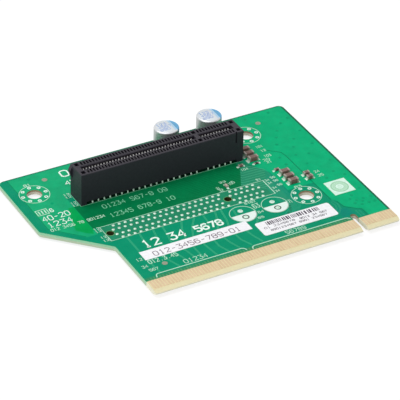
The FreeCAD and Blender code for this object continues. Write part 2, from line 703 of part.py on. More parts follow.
def card_nodes():
    """Every node of the riser card by name."""
    nodes = {
        "circuit_board": circuit_board(),
        "edge_pads_top": Part.makeCompound(edge_pads((TOP, TOP + PAD_THICKNESS))),
        "edge_pads_bottom": Part.makeCompound(edge_pads((BOTTOM - PAD_THICKNESS, BOTTOM))),
        "strip_label": square_cut_label(STRIP_LABEL),
        "code_label": rounded_label(CODE_LABEL, CODE_LABEL_CORNER),
        "square_label": square_cut_label(SQUARE_LABEL),
        "sighting_pads": Part.makeCompound(sighting_pads()),
    }
    return nodes | slot_nodes() | capacitor_nodes() | chip_nodes()


os.makedirs("parts", exist_ok=True)
for node, shape in card_nodes().items():
    shape.exportStep(f"parts/{node}.step")
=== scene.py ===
"""Looks of a riser card for a server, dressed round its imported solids.

Everything that the card is built of comes in as the fixed frame. This script gives each
solid its finish and adds what is too fine for the solids: solder mask with the copper under
it, white marking ink, plated holes, turned capacitor cans, soldered chips and printed labels.
Sizes are in millimetres of the card's own frame and become metres where a mesh is made.
"""

from __future__ import annotations

import logging
import math
from dataclasses import dataclass
from enum import Enum

import bpy
import numpy as np
from mathutils import Matrix, Vector
from numpy.typing import NDArray


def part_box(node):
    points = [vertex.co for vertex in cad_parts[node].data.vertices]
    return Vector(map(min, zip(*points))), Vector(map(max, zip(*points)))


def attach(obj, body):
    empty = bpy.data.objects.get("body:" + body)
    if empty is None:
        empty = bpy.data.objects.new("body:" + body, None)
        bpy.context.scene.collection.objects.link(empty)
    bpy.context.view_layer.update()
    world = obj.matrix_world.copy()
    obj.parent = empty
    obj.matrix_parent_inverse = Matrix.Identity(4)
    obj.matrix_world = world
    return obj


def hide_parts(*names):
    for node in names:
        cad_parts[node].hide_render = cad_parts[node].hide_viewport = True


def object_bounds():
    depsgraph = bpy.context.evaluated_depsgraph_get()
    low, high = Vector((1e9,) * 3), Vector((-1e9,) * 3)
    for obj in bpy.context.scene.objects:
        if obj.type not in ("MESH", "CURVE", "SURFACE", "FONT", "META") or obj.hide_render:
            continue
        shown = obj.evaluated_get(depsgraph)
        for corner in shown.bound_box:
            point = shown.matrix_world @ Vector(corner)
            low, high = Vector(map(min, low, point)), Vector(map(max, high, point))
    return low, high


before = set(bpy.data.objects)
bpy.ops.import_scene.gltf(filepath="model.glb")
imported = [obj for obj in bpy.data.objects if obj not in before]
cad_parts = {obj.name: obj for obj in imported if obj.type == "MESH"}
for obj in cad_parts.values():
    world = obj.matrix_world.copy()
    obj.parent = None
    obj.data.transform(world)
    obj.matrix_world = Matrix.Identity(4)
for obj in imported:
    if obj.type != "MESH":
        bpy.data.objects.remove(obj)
CAD_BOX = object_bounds()

LOG = logging.getLogger("riser_card")
MM = 0.001
BODY = "root"
MADE: dict[str, bpy.types.Material] = {}

Points = NDArray[np.float64]
Faces = NDArray[np.int64]
Colour = tuple[int, int, int]
Light = tuple[float, float, float, float]
Pair = tuple[float, float]
Path = list[Pair]
Spots = tuple[Pair, ...]
Triple = tuple[float, float, float]
Hole = tuple[float, float, float, Colour, Colour]
Socket = bpy.types.NodeSocket

WELD_STEPS = 1e5        # to the millimetre: points that round to the same step are one
LEAST_MITRE = 0.55      # least cosine of half a corner, which keeps a mitre from growing long
LEAST = 1e-6            # stands in for nought where something is divided by it
EDGE_FACETS = 3         # across a rounded edge
CREASE = 35.0           # edges that turn by more than this many degrees stay sharp


class Slot(Enum):
    """Material slots by name; a chip's body is sorted into one, though no piece takes its finish from them.
    """

    BOARD = "board"
    SOLDER = "solder"
    CAN = "can_aluminium"
    CHIP = "chip_ceramic"
    RESISTOR = "resistor_ceramic"
    TERMINAL = "chip_terminal"
    LABEL = "label_paper"
    COPPER = "bare_copper"


class Face(Enum):
    """Faces of the board, by the sign of their outward normal along z."""

    TOP = 1
    BOTTOM = -1


# ------------------------------------------------------------------ surfaces
@dataclass(frozen=True)
class Shell:
    """A closed surface: points in millimetres and the triangles over them."""

    points: Points
    faces: Faces

    def turned_out(self) -> Shell:
        """The same shell with its faces outwards.

        The volume is a sixth of the sum of a . (b x c) over the triangles, and it is
        positive where the corners a, b, c run anticlockwise as seen from outside.

        Returns:
            This shell, or one with each triangle turned over.
        """
        a, b, c = (self.points[self.faces[:, corner]] for corner in range(3))
        volume = np.einsum("ij,ij->", a, np.cross(b, c))
        return self if volume > 0 else Shell(self.points, self.faces[:, ::-1])

    def copies(self, places: Points, turns: float | Points = 0.0) -> Shell:
        """One copy at each place: p' = R(turn) p + place.

        Args:
            places: one place, or an array of them.
            turns: the angle about z in radians, one for all copies or one for each.

        Returns:
            All copies as one shell.
        """
        places = np.atleast_2d(np.asarray(places, float))
        turns = np.broadcast_to(turns, len(places))
        cosine, sine = np.cos(turns)[:, None], np.sin(turns)[:, None]
        x, y, z = self.points.T
        moved = np.stack([cosine * x - sine * y, sine * x + cosine * y, np.ones_like(cosine) * z], -1)
        moved += places[:, None, :]
        steps = np.arange(len(places))[:, None, None] * len(self.points)
        return Shell(moved.reshape(-1, 3), (self.faces[None] + steps).reshape(-1, 3))


def join(shells: list[Shell]) -> Shell:
    """All shells as one: the points stacked, the faces moved on by the points before them.

    Args:
        shells: the shells to put together.

    Returns:
        One shell.
    """
    starts = np.cumsum([0] + [len(shell.points) for shell in shells[:-1]])
    faces = [shell.faces + start for shell, start in zip(shells, starts)]
    return Shell(np.vstack([shell.points for shell in shells]), np.vstack(faces))


def weld(points: Points, faces: Faces) -> Shell:
    """Closes seams and poles: equal points become one, and triangles left with no area go.

    Args:
        points: points in millimetres, equal where a seam closes.
        faces: the triangles over them.

    Returns:
        The closed shell, with its faces outwards.
    """
    keys = np.round(points * WELD_STEPS).astype(np.int64)
    _, first, same = np.unique(keys, axis=0, return_index=True, return_inverse=True)
    faces = same.reshape(-1)[faces]
    whole = (faces[:, 0] != faces[:, 1]) & (faces[:, 1] != faces[:, 2]) & (faces[:, 2] != faces[:, 0])
    return Shell(points[first], faces[whole]).turned_out()


def loft(rings: Points, loop: bool = False) -> Shell:
    """Skin over a row of rings.

    Point (i, j) is joined to (i, j+1), (i+1, j+1) and (i+1, j), where j runs round the ring.
    A row that isn't a loop is closed at both ends by a fan from the middle of the ring.

    Args:
        rings: array of ring, point and coordinate.
        loop: joins the last ring to the first.

    Returns:
        The welded, closed shell.
    """
    count, around, _ = rings.shape
    i = np.arange(count if loop else count - 1)[:, None]
    j = np.arange(around)[None, :]
    here, onward = i * around, (i + 1) % count * around
    ahead = (j + 1) % around
    quads = np.stack([here + j, here + ahead, onward + ahead, onward + j], -1).reshape(-1, 4)
    faces = [quads[:, [0, 1, 2]], quads[:, [0, 2, 3]]]
    points = rings.reshape(-1, 3)
    if not loop:
        points = np.vstack([points, rings[[0, -1]].mean(axis=1)])
        border = np.arange(around)
        last = (count - 1) * around
        middle = np.full(around, count * around)
        faces.append(np.stack([middle, np.roll(border, -1), border], -1))
        faces.append(np.stack([middle + 1, last + border, last + np.roll(border, -1)], -1))
    return weld(points, np.vstack(faces))


def at_heights(rows: list[tuple[Points, float]], axis: int = 0) -> Points:
    """Rows of flat points, each lifted to its own height and stacked along an axis."""
    return np.stack([np.insert(flat, 2, height, axis=1) for flat, height in rows], axis=axis)


def lathe(profile: Path, steps: int) -> Shell:
    """A turned form: point (i, j) is (r_i cos t_j, r_i sin t_j, z_i), with t_j = 2 pi j / steps.

    Args:
        profile: radius and height of each point of the outline, from the axis to the axis.
        steps: number of points round the axis.

    Returns:
        The closed shell.
    """
    radius, height = np.array(profile, float).T
    turn = 2 * math.pi * np.arange(steps) / steps
    x = radius[:, None] * np.cos(turn)
    y = radius[:, None] * np.sin(turn)
    return loft(np.stack([x, y, np.broadcast_to(height[:, None], x.shape)], -1))


def ribbon(path: Path | Points, width: float, low: float, high: float, loop: bool = False) -> Shell:
    """A strip with square sides along a path.

    The path is moved sideways by +-w/2 along the mitre m, which halves the corner, with
    |m| = 1 / cos(half the corner).

    Args:
        path: the middle line of the strip.
        width: w.
        low: height of its underside.
        high: height of its face.
        loop: joins the end of the path to its start.

    Returns:
        The closed shell.
    """
    line = np.asarray(path, float)
    ahead = np.roll(line, -1, axis=0) - line
    back = np.roll(ahead, 1, axis=0)
    if not loop:
        ahead[-1], back[0] = back[-1], ahead[0]
    ahead /= np.linalg.norm(ahead, axis=1, keepdims=True)
    back /= np.linalg.norm(back, axis=1, keepdims=True)
    mitre = ahead + back
    mitre /= np.maximum(np.linalg.norm(mitre, axis=1, keepdims=True), LEAST)
    stretch = np.clip(np.einsum("ij,ij->i", mitre, ahead), LEAST_MITRE, 1)[:, None]
    side = np.stack([-mitre[:, 1], mitre[:, 0]], -1) / stretch * width / 2
    left, right = line + side, line - side
    corners = [(left, low), (left, high), (right, high), (right, low)]
    return loft(at_heights(corners, axis=1), loop)


def plate(border: Points, low: float, high: float) -> Shell:
    """A flat slab inside a border that its middle can see all of.

    Its rings are the middle and the border below, then the border and the middle above.

    Args:
        border: the corners in order.
        low: height of its underside.
        high: height of its face.

    Returns:
        The closed shell.
    """
    border = np.asarray(border, float)
    middle = np.broadcast_to(border.mean(axis=0), border.shape)
    return loft(at_heights([(middle, low), (border, low), (border, high), (middle, high)]))


def circle(steps: int) -> Points:
    """Points (cos t, sin t) round the unit circle."""
    turn = 2 * math.pi * np.arange(steps) / steps
    return np.stack([np.cos(turn), np.sin(turn)], -1)


def ring(radius: float, width: float, low: float, high: float, steps: int) -> Shell:
    """A flat ring: a ribbon along a circle."""
    return ribbon(radius * circle(steps), width, low, high, loop=True)


def rounded_block(size: Triple, radius: float) -> Shell:
    """A box with round edges about its middle.

    Its points are s (half size - r) + r n, where n runs over the unit sphere by latitude
    and longitude and s holds the signs of n's octant.

    Args:
        size: the box's size along each axis.
        radius: r of the round edges.

    Returns:
        The closed shell.
    """
    inner = np.asarray(size, float) / 2 - radius
    steps = EDGE_FACETS + 1
    quarter = np.linspace(0, math.pi / 2, steps)
    latitude = np.concatenate([quarter - math.pi / 2, quarter])
    side_z = np.repeat([-1.0, 1.0], steps)
    longitude = np.concatenate([quarter + turn * math.pi / 2 for turn in range(4)])
    side_x = np.repeat([1.0, -1.0, -1.0, 1.0], steps)
    side_y = np.repeat([1.0, 1.0, -1.0, -1.0], steps)
    reach = radius * np.cos(latitude)[:, None]
    x = side_x * inner[0] + reach * np.cos(longitude)
    y = side_y * inner[1] + reach * np.sin(longitude)
    z = np.broadcast_to((side_z * inner[2] + radius * np.sin(latitude))[:, None], x.shape)
    return loft(np.stack([x, y, z], -1))


def at(x: float, y: float) -> Points:
    """One place on the board's middle plane, as an array of places."""
    return np.array([[x, y, 0.0]], float)


# ------------------------------------------------------------------ numbers in strokes
CELL = (4, 6)           # width and height of the grid that the strokes are drawn on
FIGURE_SHARE = 0.72     # of the pitch of a row, which a figure fills
LAST_GAP = 0.25         # of the pitch, which the last figure of a row leaves out

DIGITS: dict[str, list[Path]] = {
    "0": [[(1, 0), (3, 0), (4, 1), (4, 5), (3, 6), (1, 6), (0, 5), (0, 1), (1, 0)]],
    "1": [[(1, 5), (2, 6), (2, 0)], [(1, 0), (3, 0)]],
    "2": [[(0, 5), (1, 6), (3, 6), (4, 5), (4, 4), (0, 0), (4, 0)]],
    "3": [[(0, 6), (4, 6), (2, 3.6), (3, 3.6), (4, 2.6), (4, 1), (3, 0), (1, 0), (0, 1)]],
    "4": [[(3, 0), (3, 6), (0, 2), (4, 2)]],
    "5": [[(4, 6), (0, 6), (0, 3.5), (3, 3.5), (4, 2.6), (4, 1), (3, 0), (1, 0), (0, 1)]],
    "6": [[(4, 5), (3, 6), (1, 6), (0, 5), (0, 1), (1, 0), (3, 0), (4, 1), (4, 2.4), (3, 3.4), (0, 3.4)]],
    "7": [[(0, 6), (4, 6), (1.5, 0)]],
    "8": [
        [(1, 3.2), (0, 4), (0, 5), (1, 6), (3, 6), (4, 5), (4, 4), (3, 3.2), (1, 3.2)],
        [(1, 3.2), (0, 2.2), (0, 1), (1, 0), (3, 0), (4, 1), (4, 2.2), (3, 3.2)],
    ],
    "9": [[(0, 1), (1, 0), (3, 0), (4, 1), (4, 5), (3, 6), (1, 6), (0, 5), (0, 3.6), (1, 2.6), (4, 2.6)]],
    "-": [[(0.6, 3), (3.4, 3)]],
    ".": [[(1.5, 0.2), (2.5, 0.2)]],
}


@dataclass(frozen=True)
class Number:
    """A row of plain figures: its left lower corner, length, height and stroke."""

    text: str
    x: float
    y: float
    length: float
    height: float
    stroke: float
    turn: float = 0.0

    def shell(self, low: float, high: float) -> Shell:
        """The figures as ribbons: each stroke scaled to the figure's cell and set in its row.

        Args:
            low: height of the strokes' underside.
            high: height of their face.

        Returns:
            All strokes as one shell.
        """
        pitch = self.length / (len(self.text) - LAST_GAP)
        scale = np.array([pitch * FIGURE_SHARE / CELL[0], self.height / CELL[1]])
        cosine, sine = math.cos(self.turn), math.sin(self.turn)
        turned = np.array([[cosine, sine], [-sine, cosine]])
        strokes = [
            (np.array(stroke, float) * scale + (index * pitch, 0)) @ turned + (self.x, self.y)
            for index, figure in enumerate(self.text)
            for stroke in DIGITS.get(figure, [])
        ]
        return join([ribbon(stroke, self.stroke, low, high) for stroke in strokes])


# ------------------------------------------------------------------ shader graphs
def linear(colour: Colour) -> Light:
    """A display colour as linear light: ((c + 0.055) / 1.055) ^ 2.4 above the toe.

    Args:
        colour: red, green and blue from 0 to 255.

    Returns:
        Red, green and blue light from 0 to 1, and an alpha of 1.
    """
    share = np.array(colour, float) / 255
    light = np.where(share <= 0.04045, share / 12.92, ((share + 0.055) / 1.055) ** 2.4)
    return (*[float(value) for value in light], 1.0)


NOISE_ROUGHNESS = 0.55      # how much each finer layer of a noise adds
NOISE_SPAN = (0.3, 0.7)     # most of a noise's values lie in it


class Graph:
    """Short calls to add nodes to a tree and to link them."""

    def __init__(self, tree: bpy.types.NodeTree) -> None:
        """Starts on an empty tree."""
        self.tree = tree
        tree.nodes.clear()

    def feed(self, entry: Socket, value: object) -> None:
        """Links an output to an input, or sets the input to a plain value.

        Args:
            entry: the input.
            value: a node's output, or the value.
        """
        if isinstance(value, Socket):
            self.tree.links.new(value, entry)
        else:
            entry.default_value = value

    def node(self, kind: str, inputs: dict | None = None, **settings: object) -> bpy.types.Node:
        """Adds a node, sets its own settings, and sets or links its inputs.

        Args:
            kind: the node's type name without the leading ShaderNode.
            inputs: value or socket by the name or the number of the input.
            **settings: attributes of the node itself.

        Returns:
            The new node.
        """
        made = self.tree.nodes.new("ShaderNode" + kind)
        for name, value in settings.items():
            setattr(made, name, value)
        for name, value in (inputs or {}).items():
            self.feed(made.inputs[name], value)
        return made

    def math(self, operation: str, *values: object, clamp: bool = False) -> Socket:
        """A Math node's value."""
        made = self.node("Math", dict(enumerate(values)), operation=operation, use_clamp=clamp)
        return made.outputs[0]

    def step(self, value: object, start: float, stop: float) -> Socket:
        """0 at start, 1 at stop, and a clamped straight line between them."""
        ends = {"Value": value, "From Min": start, "From Max": stop}
        return self.node("MapRange", ends).outputs["Result"]

    def mix(self, share: object, first: object, second: object) -> Socket:
        """The colour that runs from first to second as share goes from 0 to 1."""
        return self.node("Mix", {0: share, 6: first, 7: second}, data_type="RGBA").outputs[2]

    def shaded(self, share: object, colour: Colour, darkest: float) -> Socket:
        """A colour that falls to a part of itself as share goes from 0 to 1."""
        return self.mix(share, linear(colour), linear(darker(colour, darkest)))

    def place(self) -> Socket:
        """The surface's place in the card's frame.

        Returns:
            Its coordinates in millimetres.
        """
        place = self.node("TexCoord").outputs["Object"]
        scaled = self.node("VectorMath", {0: place, "Scale": 1 / MM}, operation="SCALE")
        return scaled.outputs[0]

    def noise(self, place: Socket, scale: float, detail: float = 3.0) -> Socket:
        """Noise from 0 to 1, with its grain 1 / scale millimetres across."""
        inputs = {"Vector": place, "Scale": scale, "Detail": detail, "Roughness": NOISE_ROUGHNESS}
        return self.node("TexNoise", inputs).outputs["Fac"]

    def stretched(self, place: Socket, x: float, y: float, z: float) -> Socket:
        """The place with each axis scaled, so that a grain on it is drawn out."""
        return self.node("Mapping", {"Vector": place, "Scale": (x, y, z)}).outputs[0]

    def group(self, tree: bpy.types.NodeTree, **inputs: object) -> bpy.types.Node:
        """A shared node group with its own values."""
        return self.node("Group", inputs, node_tree=tree)


def new_group(name: str, inputs: dict[str, object], outputs: list[tuple[str, str]]) -> tuple:
    """An empty node group with its sockets.

    Args:
        name: the group's name.
        inputs: default value by input name; four numbers make a colour, three a vector.
        outputs: name and socket type of each output.

    Returns:
        The tree, its Graph, the sockets of its input node, and its output node.
    """
    tree = bpy.data.node_groups.new(name, "ShaderNodeTree")
    kinds = {4: "NodeSocketColor", 3: "NodeSocketVector"}
    for label, value in inputs.items():
        kind = kinds[len(value)] if isinstance(value, tuple) else "NodeSocketFloat"
        socket = tree.interface.new_socket(name=label, in_out="INPUT", socket_type=kind)
        socket.default_value = value
    for label, kind in outputs:
        tree.interface.new_socket(name=label, in_out="OUTPUT", socket_type=kind)
    graph = Graph(tree)
    entry = tree.nodes.new("NodeGroupInput")
    leave = tree.nodes.new("NodeGroupOutput")
    return tree, graph, entry.outputs, leave


FINER_GRAIN = 9.0           # the relief's noise to the colour's
SCUFF_WIDTH = 0.02          # half a scuff, as a difference of its noise
SCUFF_PATCH = 0.3           # the patches' noise to the scuffs' own
SCUFF_EDGE = (0.5, 0.62)    # where a patch of scuffs begins and is at its fullest
SCUFF_DRAW = (1.0, 0.15, 1.0)   # draws the scuffs out across the card
EVEN = (1.0, 1.0, 1.0)      # the stretch of a grain that isn't drawn out


def grain_group() -> bpy.types.NodeTree:
    """Uneven colour and a fine grain, which every finish uses.

    The colour runs from Base to Second by a broad noise, which Mask puts out, and Height is
    a noise that is finer by a factor of nine.

    Returns:
        The group's tree.
    """
    inputs = {
        "Place": (0.0, 0.0, 0.0),
        "Base": (0.5, 0.5, 0.5, 1.0),
        "Second": (0.5, 0.5, 0.5, 1.0),
        "Scale": 1.0,
    }
    outputs = [("Color", "NodeSocketColor"), ("Height", "NodeSocketFloat"), ("Mask", "NodeSocketFloat")]
    tree, graph, entry, leave = new_group("uneven_grain", inputs, outputs)
    broad = graph.node("TexNoise", {"Vector": entry["Place"], "Scale": entry["Scale"], "Detail": 4.0})
    finer = graph.math("MULTIPLY", entry["Scale"], FINER_GRAIN)
    fine = graph.node("TexNoise", {"Vector": entry["Place"], "Scale": finer, "Detail": 3.0})
    mask = graph.step(broad.outputs["Fac"], *NOISE_SPAN)
    graph.feed(leave.inputs["Color"], graph.mix(mask, entry["Base"], entry["Second"]))
    graph.feed(leave.inputs["Height"], fine.outputs["Fac"])
    graph.feed(leave.inputs["Mask"], mask)
    return tree


def scuff_group() -> bpy.types.NodeTree:
    """Fine scuffs: thin bright lines where a stretched noise passes its middle.

    Mask is 1 on a scuff, and Amount from 0 to 1 widens them. A second noise keeps them to
    patches.

    Returns:
        The group's tree.
    """
    inputs = {"Place": (0.0, 0.0, 0.0), "Scale": 1.0, "Amount": 0.3}
    tree, graph, entry, leave = new_group("fine_scuffs", inputs, [("Mask", "NodeSocketFloat")])
    wave = graph.node("TexNoise", {"Vector": entry["Place"], "Scale": entry["Scale"], "Detail": 2.0})
    off = graph.math("ABSOLUTE", graph.math("SUBTRACT", wave.outputs["Fac"], 0.5))
    width = graph.math("MULTIPLY", entry["Amount"], SCUFF_WIDTH)
    line = graph.math("SUBTRACT", 1.0, graph.math("DIVIDE", off, width), clamp=True)
    wider = graph.math("MULTIPLY", entry["Scale"], SCUFF_PATCH)
    patch = graph.node("TexNoise", {"Vector": entry["Place"], "Scale": wider})
    there = graph.step(patch.outputs["Fac"], *SCUFF_EDGE)
    graph.feed(leave.inputs["Mask"], graph.math("MULTIPLY", line, there))
    return tree


GRAIN = grain_group()
SCUFFS = scuff_group()


@dataclass(frozen=True)
class Finish:
    """A surface: its two colours, the grain between them, and how it takes the light."""

    name: str
    colour: Colour
    second: Colour
    roughness: float
    metallic: float = 0.0
    specular: float = 0.5
    grain: float = 1.0
    relief: float = 0.004
    uneven_gloss: float = 0.08
    stretch: Triple = EVEN
    scuffs: float = 0.0
    scuff_colour: Colour = (200, 200, 200)

    def material(self) -> bpy.types.Material:
        """The material of this finish, made the first time that it is asked for.

        Returns:
            The same material on every call.
        """
        if self.name not in MADE:
            MADE[self.name] = self.build()
        return MADE[self.name]

    def colour_of(self, graph: Graph, place: Socket, base: Socket) -> Socket:
        """The finish's own pattern over its base colour; a plain finish has none."""
        return base

    def build(self) -> bpy.types.Material:
        """Makes the material from the shared groups and one Principled BSDF.

        Returns:
            The new material.
        """
        made = bpy.data.materials.new(self.name)
        made.use_nodes = True
        graph = Graph(made.node_tree)
        place = graph.place()
        drawn = graph.stretched(place, *self.stretch) if self.stretch != EVEN else place
        grain = graph.group(
            GRAIN,
            Place=drawn,
            Base=linear(self.colour),
            Second=linear(self.second),
            Scale=self.grain,
        )
        colour = self.colour_of(graph, place, grain.outputs["Color"])
        low, high = self.roughness - self.uneven_gloss, self.roughness + self.uneven_gloss
        rough = graph.node("MapRange", {"Value": grain.outputs["Mask"], "To Min": low, "To Max": high})
        gloss = rough.outputs["Result"]
        if self.scuffs:
            drawn_out = graph.stretched(place, *SCUFF_DRAW)
            marks = graph.group(SCUFFS, Place=drawn_out, Scale=self.grain, Amount=self.scuffs)
            colour = graph.mix(marks.outputs["Mask"], colour, linear(self.scuff_colour))
        bump = graph.node("Bump", {"Height": grain.outputs["Height"], "Distance": self.relief * MM})
        shader = graph.node("BsdfPrincipled", {
            "Base Color": colour,
            "Roughness": gloss,
            "Metallic": self.metallic,
            "Specular IOR Level": self.specular,
            "Normal": bump.outputs["Normal"],
        })
        graph.node("OutputMaterial", {"Surface": shader.outputs[0]})
        return made


CRISP = 0.04                # width over which one colour gives way to the next


@dataclass(frozen=True)
class Zone:
    """A convex patch of the board in another colour, with a soft border: mostly the mask over other copper,
    and painted shade under the fitted slot.
    """

    colour: Colour
    corners: Spots
    soft: float = 0.2


def inside(graph: Graph, place: Socket, zone: Zone) -> Socket:
    """1 inside a zone and 0 outside: the least of n . p - d over its sides, over the softness.

    Args:
        graph: the graph of the material.
        place: p, the surface's place.
        zone: the zone, whose sides have the inward normals n and the offsets d.

    Returns:
        The mask.
    """
    corners = np.array(zone.corners, float)
    sides = np.roll(corners, -1, axis=0) - corners
    sides /= np.linalg.norm(sides, axis=1, keepdims=True)
    normals = np.stack([-sides[:, 1], sides[:, 0]], -1)
    offsets = np.einsum("ij,ij->i", normals, corners)
    nearest = None
    for (x, y), offset in zip(normals, offsets):
        dot = graph.node("VectorMath", {0: place, 1: (float(x), float(y), 0.0)}, operation="DOT_PRODUCT")
        depth = graph.math("SUBTRACT", dot.outputs["Value"], float(offset))
        nearest = depth if nearest is None else graph.math("MINIMUM", nearest, depth)
    return graph.step(nearest, -zone.soft, zone.soft)


def near(graph: Graph, place: Socket, x: float, y: float, radius: float) -> Socket:
    """1 within a radius of an upright axis, else 0.

    Args:
        graph: the graph of the material.
        place: the surface's place.
        x: the axis along the card edge.
        y: the axis across the card.
        radius: the radius about it.

    Returns:
        The mask.
    """
    flat = graph.node("VectorMath", {0: place, 1: (1.0, 1.0, 0.0)}, operation="MULTIPLY").outputs[0]
    away = graph.node("VectorMath", {0: flat, 1: (x, y, 0.0)}, operation="DISTANCE").outputs["Value"]
    return graph.step(away, radius + CRISP / 2, radius - CRISP / 2)


@dataclass(frozen=True)
class BoardFinish(Finish):
    """Solder mask over laminate and copper, with bare laminate on the sides, the holes and
    the card edge."""

    zones: tuple[Zone, ...] = ()
    holes: tuple[Hole, ...] = ()
    mask_start: float = 5.75
    # Where the dark strips along the right and back edges begin, and their colour: partly the mask's own
    # colour at the edge, partly painted shade.
    right_margin: float = 11.35
    back_margin: float = 71.8
    edge_mask_and_shade: Colour = (20, 98, 70)
    underside: Colour = (0, 158, 106)
    edge_upper: Colour = (158, 214, 174)
    edge_lower: Colour = (192, 210, 182)
    tongue: Colour = (230, 222, 182)
    between_pads: Colour = (222, 210, 168)
    pad_foot: float = 1.45
    foot_soft: float = 0.3
    mask_soft: float = 0.03
    tongue_side: Colour = (238, 236, 212)
    cloud_scale: float = 0.35
    pour_scale: float = 0.12
    weave: Triple = (1.6, 5.0, 1.0)
    layers: Triple = (1.5, 1.5, 14.0)
    hole_reach: float = 0.1
    edge_border: Pair = (-0.08, 0.12)
    bore_border: Pair = (-0.1, 0.4)
    face_border: Pair = (-0.2, 0.2)
    wall_slope: Pair = (0.6, 0.4)
    pour_span: Pair = (0.35, 0.65)

    def colour_of(self, graph: Graph, place: Socket, base: Socket) -> Socket:
        """The faces and the card edge, with the sides and the hole walls over them.

        Args:
            graph: the graph of the material.
            place: the surface's place.
            base: the colour of the mask.

        Returns:
            The board's colour.
        """
        x, y, z = graph.node("SeparateXYZ", {0: place}).outputs
        on_tongue = graph.step(y, self.mask_start + self.mask_soft, self.mask_start - self.mask_soft)
        face = graph.mix(on_tongue, self.mask_of(graph, place, base), self.tongue_of(graph, place, y))
        layers = graph.noise(graph.stretched(place, *self.layers), 1.0, 2.0)
        upper = graph.shaded(layers, self.edge_upper, darkest=0.85)
        lower = graph.shaded(layers, self.edge_lower, darkest=0.82)
        side = graph.mix(graph.step(z, *self.edge_border), lower, upper)
        side = graph.mix(on_tongue, side, graph.shaded(layers, self.tongue_side, darkest=0.88))
        for hole_x, hole_y, radius, mouth, bore in self.holes:
            deep = graph.shaded(layers, bore, darkest=0.92)
            bored = graph.mix(graph.step(z, *self.bore_border), deep, linear(mouth))
            side = graph.mix(near(graph, place, hole_x, hole_y, radius + self.hole_reach), side, bored)
        normal = graph.node("SeparateXYZ", {0: graph.node("NewGeometry").outputs["True Normal"]})
        wall = graph.step(graph.math("ABSOLUTE", normal.outputs["Z"]), *self.wall_slope)
        return graph.mix(wall, face, side)

    def mask_of(self, graph: Graph, place: Socket, base: Socket) -> Socket:
        """The zones one over the other on the top face, one of them painted shade under the slot, the poured
        copper under the mask on the other, and the dark strips along the right and back edges, which are
        partly the mask's own colour at the edge and partly painted shade.

        Args:
            graph: the graph of the material.
            place: the surface's place.
            base: the colour of the mask.

        Returns:
            The colour of both faces.
        """
        colour = base
        for zone in self.zones:
            cloudy = graph.step(graph.noise(place, self.cloud_scale, 2.0), *NOISE_SPAN)
            within = inside(graph, place, zone)
            patch = graph.shaded(cloudy, zone.colour, darkest=0.93)
            colour = graph.mix(within, colour, patch)
        x, y, z = graph.node("SeparateXYZ", {0: place}).outputs
        pour = graph.step(graph.noise(place, self.pour_scale, 1.0), *self.pour_span)
        under = graph.shaded(pour, self.underside, darkest=0.94)
        colour = graph.mix(graph.step(z, *self.face_border), under, colour)
        # Dark strips along the right and back edges: partly the mask's own colour, partly painted shade.
        right = graph.step(x, self.right_margin, self.right_margin + CRISP)
        back = graph.step(y, self.back_margin, self.back_margin + CRISP)
        return graph.mix(graph.math("MAXIMUM", right, back), colour, linear(self.edge_mask_and_shade))

    def tongue_of(self, graph: Graph, place: Socket, y: Socket) -> Socket:
        """Bare laminate with its weave: the bevel, and the strips between the pads.

        Args:
            graph: the graph of the material.
            place: the surface's place.
            y: its distance from the mating edge.

        Returns:
            The colour of the card edge.
        """
        weave = graph.noise(graph.stretched(place, *self.weave), 1.0)
        bevel = graph.shaded(weave, self.tongue, darkest=0.9)
        between = graph.shaded(weave, self.between_pads, darkest=0.95)
        return graph.mix(graph.step(y, self.pad_foot - self.foot_soft, self.pad_foot), bevel, between)


@dataclass(frozen=True)
class ContactFinish(Finish):
    """Springy metal that is wetted with solder close to the board, with a painted highlight up to the
    nose and painted shade on the tip above it.
    """

    solder_top: float = 1.75
    nose_top: float = 10.95
    # Painted highlight: the near-white band below the nose stands for the glint on the contacts; painted
    # shade: the dark tip above it.
    spring_highlight: Colour = (240, 240, 238)
    tip: Colour = (84, 76, 74)
    solder_soft: float = 0.15
    tip_soft: float = 0.05

    def colour_of(self, graph: Graph, place: Socket, base: Socket) -> Socket:
        """The solder's colour at the foot, then a painted highlight, then painted shade on the tip.

        Args:
            graph: the graph of the material.
            place: the surface's place.
            base: the colour of the solder.

        Returns:
            The contact's colour.
        """
        height = graph.node("SeparateXYZ", {0: place}).outputs["Z"]
        bare = graph.step(height, self.solder_top - self.solder_soft, self.solder_top + self.solder_soft)
        tip = graph.step(height, self.nose_top - self.tip_soft, self.nose_top + self.tip_soft)
        return graph.mix(tip, graph.mix(bare, base, linear(self.spring_highlight)), linear(self.tip))


